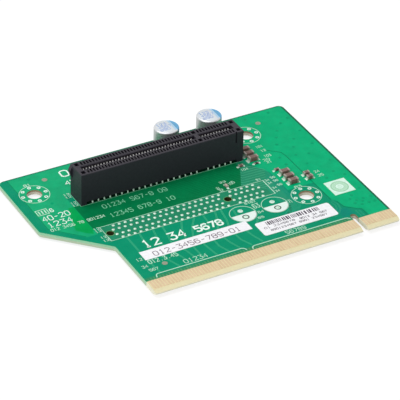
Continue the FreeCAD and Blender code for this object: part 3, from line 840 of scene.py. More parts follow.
@dataclass(frozen=True)
class CanFinish(Finish):
    """Drawn aluminium with a printed polarity mark: a coloured segment past a straight line
    on the top and its rim."""

    centres: Spots = ()
    line: float = 2.33
    mark_from: float = 9.25
    lacquer: Colour = (208, 214, 218)
    lacquer_radius: float = 3.55
    side: Colour = (184, 187, 186)
    # Painted shade: the side below the shoulder is drawn darker than the top for the shade on it.
    mark: Colour = (100, 164, 204)
    pale_mark: Colour = (172, 204, 226)
    reach: float = 4.2
    rim_soft: float = 0.05
    shoulder: Pair = (9.75, 9.6)
    pale_band: Pair = (0.85, 0.55)

    def colour_of(self, graph: Graph, place: Socket, base: Socket) -> Socket:
        """The side, darker as painted shade, a thin lacquer on the top, and the mark over it with a pale
        band beside it.

        Args:
            graph: the graph of the material.
            place: the surface's place.
            base: the colour of the metal.

        Returns:
            The cans' colour.
        """
        across, _, height = graph.node("SeparateXYZ", {0: place}).outputs
        colour = base
        for x, y in self.centres:
            line = x + self.line
            close = near(graph, place, x, y, self.reach)
            over = graph.step(height, self.mark_from, self.mark_from + self.rim_soft)
            raised = graph.math("MULTIPLY", close, over)
            top = graph.math("MULTIPLY", raised, near(graph, place, x, y, self.lacquer_radius))
            body = graph.math("MULTIPLY", close, graph.step(height, *self.shoulder))
            pale = graph.step(across, *(line - edge for edge in self.pale_band))
            past = graph.step(across, line - CRISP, line + CRISP)
            # Painted shade on the side below the shoulder.
            colour = graph.mix(body, colour, linear(self.side))
            colour = graph.mix(top, colour, linear(self.lacquer))
            colour = graph.mix(graph.math("MULTIPLY", top, pale), colour, linear(self.pale_mark))
            colour = graph.mix(graph.math("MULTIPLY", raised, past), colour, linear(self.mark))
        return colour


def grey(level: float) -> Light:
    """Grey light of a level from 0 to 1."""
    return level, level, level, 1.0


def darker(colour: Colour, share: float) -> Colour:
    """A colour times a share."""
    return tuple(int(round(value * share)) for value in colour)


# ------------------------------------------------------------------ pieces
def add_piece(
    name: str,
    shell: Shell,
    finish: Finish,
    replaces: tuple[str, ...] = (),
) -> bpy.types.Object:
    """Makes a mesh object from a shell, in metres, and puts it on the card.

    Args:
        name: the piece's name.
        shell: its closed surface, in millimetres.
        finish: its finish.
        replaces: the solids that it stands for.

    Returns:
        The new object.
    """
    mesh = bpy.data.meshes.new(name)
    count = len(shell.faces)
    mesh.vertices.add(len(shell.points))
    mesh.vertices.foreach_set("co", (shell.points * MM).astype(np.float32).ravel())
    mesh.loops.add(3 * count)
    mesh.loops.foreach_set("vertex_index", shell.faces.astype(np.int32).ravel())
    mesh.polygons.add(count)
    mesh.polygons.foreach_set("loop_start", np.arange(0, 3 * count, 3, dtype=np.int32))
    mesh.update(calc_edges=True)
    mesh.polygons.foreach_set("use_smooth", np.ones(count, bool))
    mesh.set_sharp_from_angle(angle=math.radians(CREASE))
    mesh.materials.append(finish.material())
    made = bpy.data.objects.new(name, mesh)
    bpy.context.scene.collection.objects.link(made)
    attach(made, BODY)
    if replaces:
        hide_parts(*replaces)
    LOG.info("%s: %d triangles", name, count)
    return made


def dress(node: str, finish: Finish) -> None:
    """Gives a carried-over solid its finish.

    Args:
        node: the solid's name.
        finish: its finish.
    """
    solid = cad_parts[node]
    solid.data.materials.clear()
    solid.data.materials.append(finish.material())
    LOG.info("%s wears %s", node, finish.name)


def node_box(node: str) -> tuple[Points, Points]:
    """Lowest and highest corner of a solid, in millimetres."""
    low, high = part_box(node)
    return np.array(low) / MM, np.array(high) / MM


# ------------------------------------------------------------------ finishes
MASK_GLOSS = 0.05
MASK_PATCH = 0.95           # a patch of the mask, to the mask's own colour


def masked(name: str, colour: Colour) -> Finish:
    """Solder mask over something: a colour, and the same a little darker in patches."""
    patch = darker(colour, MASK_PATCH)
    return Finish(name, colour, patch, 0.45, specular=MASK_GLOSS, grain=0.6, relief=0.003)


def inked(name: str, colour: Colour, second: Colour, specular: float, relief: float = 0.004) -> Finish:
    """Marking ink on the board."""
    return Finish(name, colour, second, 0.6, grain=2.0, relief=relief, specular=specular)


def printed(name: str, colour: Colour, second: Colour, grain: float = 2.0) -> Finish:
    """Print on a label."""
    return Finish(name, colour, second, 0.7, grain=grain, relief=0.004, specular=0.2)


def paper(name: str, colour: Colour, second: Colour) -> Finish:
    """Label stock."""
    return Finish(name, colour, second, 0.72, grain=1.2, relief=0.012, specular=0.2)


def fired(name: str, colour: Colour, second: Colour) -> Finish:
    """The ceramic body of a chip capacitor."""
    return Finish(name, colour, second, 0.45, grain=3.0, relief=0.01, specular=0.3)


def metal(name: str, colour: Colour, second: Colour, *look: float) -> Finish:
    """Solder, tin or copper: look holds its roughness, share of metal, grain and relief."""
    roughness, metallic, grain, relief = look
    return Finish(name, colour, second, roughness, metallic=metallic, grain=grain, relief=relief)


INK = inked("marking_ink", (236, 248, 240), (220, 238, 228), 0.2, 0.006)
DISC_INK = inked("broad_marking_ink", (226, 238, 232), (214, 228, 222), 0.2, 0.006)
FINE_INK = inked("fine_marking_ink", (190, 228, 206), (172, 216, 190), 0.15)
# Thin ink over the dark copper, and painted shade on the fitted slot's outline, which lies in the shade at
# the foot of the moulding.
DIM_INK = inked("thin_ink_and_painted_shade", (138, 214, 176), (122, 202, 162), 0.1)

SOLDER = metal("bright_solder", (204, 228, 212), (182, 206, 190), 0.38, 0.25, 1.6, 0.01)
TIN = metal("tinned_land", (214, 238, 224), (194, 220, 206), 0.42, 0.2, 2.5, 0.006)
WIRE = metal("tinned_lead", (205, 205, 205), (180, 180, 180), 0.35, 0.9, 2.0, 0.003)
TERMINAL = metal("chip_end", (170, 164, 154), (142, 136, 128), 0.42, 0.2, 3.0, 0.008)
BARE_COPPER = metal("pad_copper", (150, 152, 132), (128, 136, 116), 0.5, 0.2, 1.5, 0.006)
RIM_COPPER = metal("golden_rim", (120, 172, 108), (100, 150, 90), 0.45, 0.4, 2.0, 0.004)
GOLD = Finish(
    "hard_gold",
    (216, 192, 156),
    (204, 178, 142),
    0.45,
    metallic=0.4,
    grain=0.8,
    relief=0.003,
    stretch=(1.0, 0.3, 1.0),
    scuffs=0.5,
    scuff_colour=(228, 208, 172),
)
CONTACT = ContactFinish(
    "contact_spring", (218, 244, 226), (196, 226, 206), 0.4, metallic=0.1, grain=1.4, relief=0.002
)

PLASTIC = Finish(
    "slot_moulding",
    (37, 33, 43),
    (32, 29, 38),
    0.5,
    specular=0.36,
    grain=1.3,
    relief=0.012,
    uneven_gloss=0.06,
    scuffs=0.15,
    scuff_colour=(58, 56, 62),
)
SEAL = Finish("seal_moulding", (30, 30, 32), (22, 22, 24), 0.75, grain=2.0, relief=0.02)
CERAMIC = fired("brown_ceramic", (128, 102, 94), (104, 82, 76))
PALE_CERAMIC = fired("pale_ceramic", (186, 170, 160), (166, 150, 140))
RESISTOR = Finish("dark_ceramic", (60, 58, 60), (44, 42, 44), 0.4, grain=3.0, relief=0.01)

PAPER = paper("label_stock", (240, 239, 243), (228, 229, 231))
GREEN_PAPER = paper("round_label_stock", (214, 240, 226), (202, 230, 214))
PRINT_GREY = printed("grey_print", (140, 128, 138), (112, 100, 110), 4.0)
PRINT_DARK = printed("dark_print", (88, 80, 92), (66, 60, 70), 4.0)
PRINT_BLACK = printed("black_print", (66, 58, 72), (80, 72, 84))
PRINT_GREEN = printed("green_print", (176, 216, 188), (188, 226, 200))
PRINT_MOSS = printed("moss_print", (150, 196, 164), (164, 206, 176))
PRINT_BLUE = Finish("blue_print", (136, 158, 204), (158, 178, 214), 0.5, grain=3.0, relief=0.002)

TRACE_PALE = masked("mask_over_pale_trace", (58, 168, 126))
TRACE_DARK = masked("mask_over_dark_trace", (6, 124, 74))
TRACE_FAINT = masked("mask_over_faint_trace", (38, 154, 120))
TRACE_TURNED = masked("mask_over_turned_trace", (66, 166, 130))
NECK_GREEN = masked("mask_over_neck", (74, 146, 98))
GAP_GREEN = masked("mask_in_gap", (0, 120, 80))
VIA_MASK = masked("mask_over_via", (0, 160, 108))
VIA_DIMPLE = masked("mask_in_via", (0, 142, 98))
VIA_BORE = Finish("via_bore", (92, 160, 122), (70, 138, 100), 0.6, grain=3.0, relief=0.006)
MOAT = Finish("land_moat", (62, 86, 70), (50, 72, 58), 0.6, grain=3.0, relief=0.004)


# ------------------------------------------------------------------ the board
BOARD_TOP = 0.8
BOARD_BOTTOM = -0.8
SUNK = 0.05
SPARE_SLOT_Y = 32.5
FITTED_SLOT_Y = 52.82


def layer(face: Face, height: float) -> Pair:
    """Low and high z of something printed or etched on a face, sunk a little into it.

    Args:
        face: the face.
        height: how far it stands off the face.

    Returns:
        Its lowest and its highest z.
    """
    if face is Face.TOP:
        return BOARD_TOP - SUNK, BOARD_TOP + height
    return BOARD_BOTTOM - height, BOARD_BOTTOM + SUNK


BRIGHT = (0, 172, 116)
LEFT_BRIGHT = (20, 166, 113)
MASK_ZONES = (
    Zone((34, 134, 98), ((-72.0, 28.6), (-15.2, 28.6), (-15.2, 37.0), (-72.0, 37.0)), 0.4),
    Zone(
        (26, 133, 96),
        ((-22.8, 36.6), (-11.2, 36.6), (-11.0, 40.6), (-14.4, 46.5), (-16.2, 49.6), (-18.4, 49.6)),
    ),
    Zone((34, 138, 104), ((-15.0, 20.0), (-12.6, 20.0), (-12.4, 37.0), (-15.0, 37.0)), 0.4),
    Zone((0, 132, 106), ((-12.6, 22.0), (-10.7, 24.0), (-10.7, 38.5), (-12.4, 38.0)), 0.3),
    Zone(BRIGHT, ((-12.3, 42.6), (12.1, 42.6), (12.1, 71.6), (-14.2, 71.6), (-14.2, 46.6)), 0.25),
    Zone(BRIGHT, ((-10.7, 28.6), (12.1, 28.6), (12.1, 43.0), (-10.7, 43.0)), 0.25),
    Zone(BRIGHT, ((-10.7, 39.5), (-10.7, 43.0), (-12.3, 43.0), (-12.3, 42.6)), 0.2),
    Zone(BRIGHT, ((-1.4, 18.0), (-0.2, 16.8), (12.1, 16.8), (12.1, 30.0), (-1.4, 30.0)), 0.2),
    Zone(BRIGHT, ((0.2, 13.2), (2.8, 10.9), (4.6, 9.6), (12.1, 9.6), (12.1, 17.2), (-0.2, 17.2)), 0.2),
    Zone(BRIGHT, ((4.8, 5.8), (12.1, 5.8), (12.1, 9.8), (4.6, 9.8)), 0.2),
    Zone((0, 134, 112), ((-3.2, 8.2), (1.6, 8.2), (0.4, 12.0), (-3.2, 13.5)), 0.8),
    Zone(LEFT_BRIGHT, ((-85.4, 56.6), (-12.0, 56.6), (-12.0, 71.5), (-85.4, 71.5)), 0.2),
    Zone(LEFT_BRIGHT, ((-85.4, 42.5), (-76.7, 33.8), (-73.2, 33.8), (-73.2, 57.0), (-85.4, 57.0)), 0.25),
    Zone(
        (0, 158, 80),
        (
            (-78.2, 38.4), (-76.0, 35.8), (-74.2, 34.4), (-73.2, 36.5),
            (-73.2, 50.0), (-75.0, 50.0), (-77.4, 42.5),
        ),
        0.3,
    ),
    Zone((0, 114, 66), ((-73.2, 36.9), (-22.4, 36.9), (-17.9, 45.6), (-17.6, 49.9), (-73.2, 49.9)), 0.12),
    # Painted shade: the board under the fitted slot's moulding, drawn near black for the shade that falls
    # under it.
    Zone((0, 58, 34), ((-71.0, 49.2), (-15.1, 49.2), (-15.1, 56.8), (-71.0, 56.8)), 0.12),
    Zone((46, 136, 94), ((-71.6, 5.7), (-0.9, 5.7), (-0.9, 7.3), (-71.6, 7.3)), 0.4),
)


def film_on(face: float) -> Pair:
    """Low and high z of print on a label or a can, from the height of its face."""
    return face - 0.03, face + 0.012


@dataclass
class BareBoard:
    """The board itself: mask, copper under the mask, card edge pads and sighting pads."""

    trace_height: float = 0.03
    pair_pitch: float = 0.34
    pair_width: float = 0.19
    slot_width: float = 0.26
    passing_width: float = 0.2
    neck_width: float = 0.42
    long_traces: int = 12
    pins_line: float = 49.4
    pin_row: Pair = (-49.3, 1.7)
    level_row: Pair = (47.0, 0.85)
    down_row: Pair = (-11.3, 0.42)
    bend_line: float = 19.5
    necks: int = 70
    first_neck: float = -1.5
    neck_foot: float = 5.7
    neck_tops: Pair = (7.1, 6.6)
    dark_corner: Pair = (-17.9, 45.6)
    via_radius: float = 0.6
    holes: tuple[Hole, ...] = ()

    def finish(self) -> BoardFinish:
        """The mask with its zones.

        Returns:
            The finish.
        """
        return BoardFinish(
            "solder_mask",
            (0, 140, 103),
            (0, 134, 98),
            0.45,
            specular=MASK_GLOSS,
            grain=0.22,
            relief=0.004,
            zones=MASK_ZONES,
            holes=self.holes,
        )

    def slot_traces(self) -> list[tuple[Path, Path, Path]]:
        """Traces from the front pins of the slot.

        Each slopes down to its own level, runs along the card to the end of the dark copper,
        turns down by 45 degrees and passes the end of the spare slot. Each row of places is
        held as its first place and the step from trace to trace.

        Returns:
            Three paths for each trace: the part over the dark copper, the slanting part and
            the part past the spare slot.
        """
        corner_x, corner_y = self.dark_corner
        pin_first, pin_step = self.pin_row
        level_first, level_step = self.level_row
        down_first, down_step = self.down_row
        fall, lean, ahead, bend = 0.37, 0.51, 0.6, 2.8
        runs = []
        for index in range(self.long_traces):
            level = level_first - level_step * index
            start = pin_first - pin_step * index
            settled = start + (self.pins_line - level) / fall
            border = corner_x - (corner_y - level) * lean
            down = down_first - down_step * index
            foot = level - (down - border - ahead)
            runs.append((
                [(start, self.pins_line), (settled, level), (border, level)],
                [(border, level), (border + ahead, level), (down, foot)],
                [(down, foot), (down, self.bend_line), (down - bend, self.bend_line - bend)],
            ))
        return runs

    def fan(self) -> list[Path]:
        """Pairs of traces from the pins of the spare slot down to the pads of the card edge.

        Returns:
            The middle line of each pair.
        """
        return [
            [(-66.2, 28.5), (-66.3, 16.0), (-65.6, 8.2)],
            [(-62.0, 28.5), (-62.6, 24.0), (-62.8, 17.0), (-60.6, 12.8), (-59.0, 8.2)],
            [(-57.4, 28.5), (-58.3, 24.0), (-58.6, 18.0), (-56.8, 14.0), (-55.3, 8.2)],
            [(-54.2, 28.5), (-54.8, 24.0), (-55.6, 20.0), (-53.6, 14.0), (-52.6, 8.2)],
            [(-47.6, 28.8), (-49.6, 24.6), (-51.0, 19.0), (-50.9, 15.0), (-50.7, 8.2)],
            [(-43.6, 28.2), (-46.5, 24.0), (-48.3, 20.0), (-47.4, 15.0), (-46.5, 8.2)],
            [(-40.4, 28.5), (-40.8, 24.0), (-43.6, 19.0), (-43.8, 12.0), (-42.4, 8.2)],
            [(-36.2, 28.5), (-37.8, 24.0), (-40.4, 19.0), (-40.5, 15.0), (-39.9, 12.0), (-38.6, 8.2)],
            [(-34.3, 28.5), (-35.2, 23.0), (-36.8, 18.0), (-36.4, 12.0), (-34.8, 8.2)],
            [(-30.9, 27.0), (-31.6, 22.0), (-33.0, 17.0), (-32.3, 12.5), (-31.0, 8.2)],
            [(-24.2, 28.5), (-24.6, 24.5), (-27.0, 18.5), (-29.0, 16.0)],
            [(-14.2, 21.5), (-15.4, 18.6), (-17.0, 17.4)],
        ]

    def faint_fan(self) -> list[Path]:
        """The pairs of traces next to the key notch, hardly to be seen under the mask.

        Returns:
            The middle line of each pair.
        """
        return [
            [(-1.5, 17.4), (-0.9, 15.0), (-1.4, 12.6), (-3.4, 10.4), (-5.4, 9.4)],
            [(-2.2, 17.0), (-1.9, 14.8), (-2.6, 12.6)],
            [(3.2, 9.4), (3.2, 6.3)],
            [(2.2, 9.8), (2.2, 6.3)],
        ]

    def neck_paths(self) -> list[Path]:
        """The neck of each card edge pad that runs up under the mask, every third one shorter.

        Returns:
            A straight path for each neck.
        """
        usual, short = self.neck_tops
        places = [(self.first_neck - pad, usual if pad % 3 else short) for pad in range(self.necks)]
        return [[(x, self.neck_foot), (x, top)] for x, top in places]

    def gaps(self) -> list[tuple[Path, float]]:
        """The gaps between poured copper areas.

        Returns:
            The middle line of each gap, with its width.
        """
        beside_slots = [(-5.4, 50.8), (-3.6, 49.4), (-1.95, 47.8), (-1.55, 45.6)]
        beside_slots += [(-1.55, 30.2), (-1.5, 18.2)]
        at_notch = [(-0.4, 16.4), (0.1, 13.2), (2.8, 10.7), (4.3, 9.7), (4.3, 6.2)]
        wing = [(-85.3, 71.4), (-85.3, 42.6), (-76.9, 34.2)]
        return [(beside_slots, 0.24), (at_notch, 0.2), (wing, 0.16)]

    def via_places(self) -> Points:
        """Vias under the mask, in a loose grid over the copper area on the right.

        Returns:
            The place of each.
        """
        spots = [
            (-2.5, 69.6), (6.1, 69.9), (9.9, 64.4), (6.5, 62.7), (3.2, 59.2), (1.0, 55.9), (9.8, 56.2),
            (-0.9, 52.3), (5.6, 52.8), (3.2, 48.8), (9.6, 48.0), (-3.8, 45.4), (1.5, 44.5), (5.7, 43.4),
            (-3.9, 41.2), (2.2, 38.8), (9.8, 37.2), (7.3, 31.3), (3.5, 29.0), (9.6, 28.3), (9.6, 19.8),
            (5.3, 17.3), (3.9, 15.8), (5.4, 14.4), (7.8, 14.4), (6.8, 13.2), (4.1, 13.1), (5.8, 11.7),
            (8.2, 11.7), (10.4, 14.3), (10.3, 11.7), (-8.4, 66.8), (-14.8, 68.3), (-22.0, 70.3),
            (-29.0, 70.0), (-46.6, 69.0), (-58.4, 63.4), (-78.2, 54.6), (-79.0, 69.6),
        ]
        return np.array([(x, y, 0.0) for x, y in spots])

    def build(self) -> None:
        """Dresses the solids and adds what lies under the mask."""
        dress("circuit_board", self.finish())
        for node in ("edge_pads_top", "edge_pads_bottom"):
            dress(node, GOLD)
        dress("sighting_pads", BARE_COPPER)
        low, high = layer(Face.TOP, self.trace_height)
        over_dark, slanting, passing = zip(*self.slot_traces())
        for name, paths, width, finish in (
            ("long_traces", over_dark, self.slot_width, TRACE_DARK),
            ("turned_traces", slanting, self.slot_width, TRACE_TURNED),
            ("passing_traces", passing, self.passing_width, TRACE_FAINT),
            ("fan_traces", self.halves(self.fan()), self.pair_width, TRACE_PALE),
            ("notch_traces", self.halves(self.faint_fan()), self.pair_width, TRACE_FAINT),
            ("pad_necks", self.neck_paths(), self.neck_width, NECK_GREEN),
        ):
            add_piece(name, join([ribbon(path, width, low, high) for path in paths]), finish)
        gaps = [ribbon(path, width, low, high) for path, width in self.gaps()]
        add_piece("copper_gaps", join(gaps), GAP_GREEN)
        self.vias(low, high)

    def halves(self, paths: list[Path]) -> list[Points]:
        """Both traces of each pair, half a pitch to either side of its middle line."""
        return [beside(path, side * self.pair_pitch / 2) for path in paths for side in (-1, 1)]

    def vias(self, low: float, high: float) -> None:
        """Adds the vias under the mask: a low bump for each, with a dimple in it.

        Args:
            low: height of their underside.
            high: height of the bumps.
        """
        wide, narrow = self.via_radius, self.via_radius * 0.6
        bump = lathe([(0, low), (wide, low), (wide, high - 0.02), (narrow, high), (0, high)], 14)
        add_piece("masked_vias", bump.copies(self.via_places()), VIA_MASK)
        dimple = lathe([(0, low), (narrow, low), (narrow * 0.9, high + 0.006), (0, high - 0.01)], 12)
        add_piece("via_dimples", dimple.copies(self.via_places()), VIA_DIMPLE)


def beside(path: Path, offset: float) -> Points:
    """A path moved sideways: each point along the mean normal of the runs next to it.

    Args:
        path: the path.
        offset: how far to its left it goes.

    Returns:
        The moved points.
    """
    line = np.asarray(path, float)
    along = np.gradient(line, axis=0)
    along /= np.linalg.norm(along, axis=1, keepdims=True)
    return line + offset * np.stack([-along[:, 1], along[:, 0]], -1)


@dataclass
class MountingHoles:
    """The screw holes, with eight plated vias round each."""

    radius: float = 2.4
    ring_radius: float = 4.7
    via_circle: float = 3.8
    via_count: int = 8
    via_radius: float = 0.64
    via_height: float = 0.05
    bore_radius: float = 0.25
    edge_drop: float = 0.02
    places: Spots = ((-80.9, 61.4), (-6.95, 61.4), (-6.95, 23.6))

    def build(self) -> None:
        """Adds the vias of all holes, on both faces."""
        circle_of_vias = self.via_circle * circle(self.via_count)
        flat = (np.array(self.places)[:, None] + circle_of_vias[None]).reshape(-1, 2)
        places = np.hstack([flat, np.zeros((len(flat), 1))])
        for face in Face:
            low, high = layer(face, self.via_height)
            base, top = (low, high) if face is Face.TOP else (high, low)
            inward = -self.edge_drop * face.value
            wide, bore = self.via_radius, self.bore_radius
            profile = [
                (0.0, base),
                (wide, base),
                (wide, top + inward),
                (wide - 0.06, top),
                (bore + 0.05, top),
                (bore, top + 1.5 * inward),
                (0.0, top + 1.8 * inward),
            ]
            side = face.name.lower()
            add_piece(f"hole_vias_{side}", lathe(profile, 16).copies(places), TIN)
            eye_low, eye_high = (top + 2.2 * inward, top + 0.8 * inward)
            eye = lathe([(0.0, eye_low), (bore, eye_low), (bore - 0.03, eye_high), (0.0, eye_high)], 12)
            add_piece(f"hole_via_bores_{side}", eye.copies(places), VIA_BORE)


@dataclass
class MarkingInk:
    """White ink: outlines, rings, half discs, brackets and rows of plain figures."""

    height: float = 0.045
    fine: float = 0.17
    outline: float = 0.15
    bracket: float = 0.3
    ring_line: float = 0.2
    can_ring_radius: float = 4.15
    can_places: Spots = ((-29.3, 23.4), (-18.2, 23.4))
    front_land: Pair = (-1.75, 1.08)

    def bold_rows(self) -> list[Number]:
        """Rows of heavy figures.

        Returns:
            The rows.
        """
        return [
            Number("12", -63.7, 21.1, 5.6, 3.4, 0.58),
            Number("34", -55.0, 21.1, 5.4, 3.4, 0.58),
            Number("5678", -46.0, 21.4, 9.0, 2.8, 0.6),
            Number("0123", -69.0, 66.1, 13.0, 3.2, 0.46),
            Number("456789", -69.9, 61.5, 12.0, 2.0, 0.3),
            Number("40-20", -84.6, 46.7, 8.9, 2.4, 0.27),
            Number("1234", -84.4, 43.2, 7.9, 2.4, 0.27),
            Number("6", -80.5, 50.5, 1.0, 1.7, 0.25),
        ]

    def dim_rows(self) -> list[Number]:
        """The two rows over the dark copper, where the ink lies thin.

        Returns:
            The rows.
        """
        return [
            Number("01234 567-8 09", -65.4, 45.0, 21.9, 1.9, 0.2),
            Number("12345 678-9 10", -65.4, 39.85, 21.9, 1.9, 0.2),
        ]

    def rows(self) -> list[Number]:
        """The other rows of fine figures on the top face.

        Returns:
            The rows.
        """
        fine = self.fine
        rows = [
            Number("012 3456 78 901234", -84.8, 41.05, 17.9, 1.25, 0.19),
            Number("01234", -56.9, 8.75, 7.7, 1.8, 0.2),
            Number("56789", -22.7, 8.2, 6.8, 1.5, 0.19),
            Number("012.3.45", -66.4, 13.25, 9.6, 1.75, 0.26),
            Number("12", -69.2, 15.9, 1.9, 1.2, fine),
            Number("34", -69.3, 12.0, 1.9, 1.2, fine),
            Number("567", -68.0, 9.8, 2.9, 1.1, fine),
            Number("101", -7.6, 53.3, 2.3, 1.0, fine),
            Number("12", -7.2, 50.8, 1.6, 1.0, fine),
            Number("103", -7.8, 47.6, 2.3, 1.1, fine),
            Number("20", -9.2, 45.8, 2.2, 1.0, fine),
            Number("21", -8.8, 44.4, 1.7, 1.0, fine),
            Number("104", -18.1, 44.1, 2.4, 0.9, fine),
            Number("24", 1.7, 32.9, 1.7, 1.1, fine),
            Number("25", 1.8, 30.7, 1.8, 1.1, fine),
            Number("31", -29.9, 38.5, 1.2, 1.0, fine),
            Number("32", -29.7, 36.9, 1.4, 1.3, fine),
            Number("105", -25.2, 38.8, 2.2, 1.2, fine, 0.3),
            Number("33", -27.6, 41.0, 2.2, 0.8, fine),
            Number("51", -16.6, 37.3, 1.5, 0.8, fine),
            Number("61", -26.2, 27.5, 1.8, 0.9, fine),
            Number("62", -24.2, 27.5, 1.6, 0.9, fine),
            Number("63", -24.6, 24.4, 2.0, 2.2, 0.24),
            Number("64", -24.8, 21.6, 1.9, 1.0, fine),
            Number("65", -26.2, 19.0, 1.9, 0.9, fine),
            Number("71", -13.7, 22.2, 1.2, 1.6, fine),
            Number("81", -81.9, 66.3, 2.1, 1.1, 0.22),
            Number("83", -8.0, 28.3, 2.2, 1.0, 0.2),
        ]
        for text, x, length, levels in (
            ("12", -73.3, 1.9, (56.4, 54.9, 51.4, 50.0, 35.9, 34.5, 31.1, 29.3)),
            ("34", -14.4, 1.5, (35.7, 34.0, 31.1, 29.2)),
            ("56", -12.1, 1.5, (36.3, 34.4, 31.9)),
        ):
            rows += [Number(text, x, y, length, 0.9, fine) for y in levels]
        return rows

    def outlines(self) -> list[tuple[Path, float]]:
        """The borders of the spare slot and of the fitted one.

        Returns:
            The path of each border, with its width.
        """
        left, right, front, back = -71.15, -14.95, -3.75, 4.1
        corners = [(left, front), (right, front), (right, back), (left, back), (left, front)]
        return [
            ([(x, slot + y) for x, y in corners], width)
            for slot, width in ((SPARE_SLOT_Y, self.outline), (FITTED_SLOT_Y, self.outline * 0.8))
        ]

    def brackets(self) -> list[tuple[Path, float]]:
        """The brackets over the two groups of card edge pads, and the small box of bars.

        Returns:
            The path of each line, with its width.
        """
        left = [(-67.6, 6.3), (-67.4, 7.2), (-67.1, 7.7), (-66.6, 7.95)]
        left += [(-38.6, 7.95), (-38.0, 7.7), (-37.6, 7.2), (-37.4, 6.6)]
        right = [(-35.5, 6.2), (-35.3, 6.9), (-34.9, 7.35), (-34.3, 7.5)]
        right += [(-2.9, 7.5), (-2.2, 7.3), (-1.5, 6.6)]
        box_path = [(-84.8, 50.2), (-81.2, 50.2), (-81.2, 52.9), (-84.8, 52.9), (-84.8, 50.2)]
        lines = [(left, self.bracket), (right, self.bracket), (box_path, 0.26)]
        lines += [([(-14.95, 28.8), (-14.95, 36.5)], 0.28), ([(-71.15, 28.8), (-71.15, 31.0)], 0.28)]
        lines += [([(x, 50.7), (x, 52.4)], 0.42) for x in (-84.0, -83.0, -82.0)]
        return lines

    def build(self) -> None:
        """Adds the ink of the top face."""
        low, high = layer(Face.TOP, self.height)
        spare, fitted = [ribbon(path, width, low, high) for path, width in self.outlines()]
        fine = [row.shell(low, high) for row in self.rows()] + [spare]
        add_piece("fine_figures", join(fine), FINE_INK)
        # The fitted slot's outline takes the dim ink as painted shade, for the shade at the foot of the
        # moulding.
        dim = [row.shell(low, high) for row in self.dim_rows()] + [fitted]
        add_piece("thin_figures", join(dim), DIM_INK)
        bold = [row.shell(low, high) for row in self.bold_rows()]
        add_piece("bold_figures", join(bold), INK)
        lines = [ribbon(path, width, low, high + 0.005) for path, width in self.brackets()]
        screws = MountingHoles()
        groups = ((screws.ring_radius, screws.places), (self.can_ring_radius, self.can_places))
        rings = [
            ring(radius, self.ring_line, low, high, 64).copies(at(x, y))
            for radius, places in groups
            for x, y in places
        ]
        add_piece("outline_marks", join(lines + rings), FINE_INK)
        halves = [self.half_disc(low, high).copies(at(x, y)) for x, y in self.can_places]
        add_piece("half_discs", join(halves), DISC_INK)

    def half_disc(self, low: float, high: float) -> Shell:
        """The filled front half of a capacitor's ring, with a round gap for its land.

        At each turn t about the land's middle p it runs from the gap's radius out to the
        border, which is the nearer of the circle, at -p.n + sqrt((p.n)^2 - |p|^2 + R^2) with
        n = (cos t, sin t), and the straight side, at (side - p_y) / sin t.

        Args:
            low: height of the underside.
            high: height of the face.

        Returns:
            The closed shell, about the middle of the ring.
        """
        land_y, gap = self.front_land
        straight = -0.05
        corner = math.atan2(straight - land_y, self.can_ring_radius)
        turn = np.linspace(0, 2 * math.pi, 72, endpoint=False)
        turn = np.sort(np.append(turn, [corner, math.pi - corner]))
        ray = np.stack([np.cos(turn), np.sin(turn)], -1)
        along = ray[:, 1] * land_y
        to_circle = -along + np.sqrt(along**2 - land_y**2 + self.can_ring_radius**2)
        rising = np.maximum(ray[:, 1], LEAST)
        to_side = np.where(ray[:, 1] > LEAST, (straight - land_y) / rising, np.inf)
        middle = np.array([0.0, land_y])
        outer = middle + ray * np.minimum(to_circle, to_side)[:, None]
        inner = middle + ray * gap
        corners = [(inner, low), (inner, high), (outer, high), (outer, low)]
        return loft(at_heights(corners, axis=1), loop=True)


# ------------------------------------------------------------------ the slots
@dataclass
class CardSlot:
    """The fitted slot: moulding, contacts and the solder of its pins on the underside."""

    fillet_foot: float = 0.56
    pin_radius: float = 0.2
    fillet_height: float = 0.24
    pin_tip: float = 0.27

    def fillet(self) -> Shell:
        """Solder that rises round a pin: the radius falls as a quarter ellipse that is hollow
        outwards, from the foot to the pin, and the pin's tip is domed.

        Returns:
            The closed shell, about the pin's place on the underside.
        """
        turn = np.linspace(0, math.pi / 2, 6)
        span = self.fillet_foot - self.pin_radius
        radius = self.fillet_foot - span * np.sin(turn)
        height = -self.fillet_height * (1 - np.cos(turn))
        profile = [(0.0, SUNK), (self.fillet_foot, SUNK)] + list(zip(radius, height))
        profile += [(self.pin_radius * 0.7, -self.pin_tip + 0.005), (0.0, -self.pin_tip)]
        return lathe(profile, 12)

    def build(self) -> None:
        """Dresses the slot and rounds its solder."""
        dress("slot_housing", PLASTIC)
        for node in ("slot_front_contacts", "slot_back_contacts"):
            dress(node, CONTACT)
        places = solder_places("slot_pin_joints", BOARD_BOTTOM)
        fillets = self.fillet().copies(places)
        add_piece("slot_pin_fillets", fillets, SOLDER, ("slot_pin_joints",))


TIP_BAND = 0.01             # points as near as this to the furthest one are tips too


def solder_places(node: str, level: float) -> Points:
    """Middles of the separate joints of a solder node: its tips are its points furthest from
    the board, one to each joint.

    Args:
        node: the node's name.
        level: z of the face that the joints stand on.

    Returns:
        A place on the face for each joint.
    """
    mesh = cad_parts[node].data
    flat = np.zeros(len(mesh.vertices) * 3, np.float32)
    mesh.vertices.foreach_get("co", flat)
    points = flat.reshape(-1, 3).astype(float) / MM
    away = np.abs(points[:, 2])
    tips = np.unique(np.round(points[away > away.max() - TIP_BAND], 2), axis=0)
    tips[:, 2] = level
    return tips


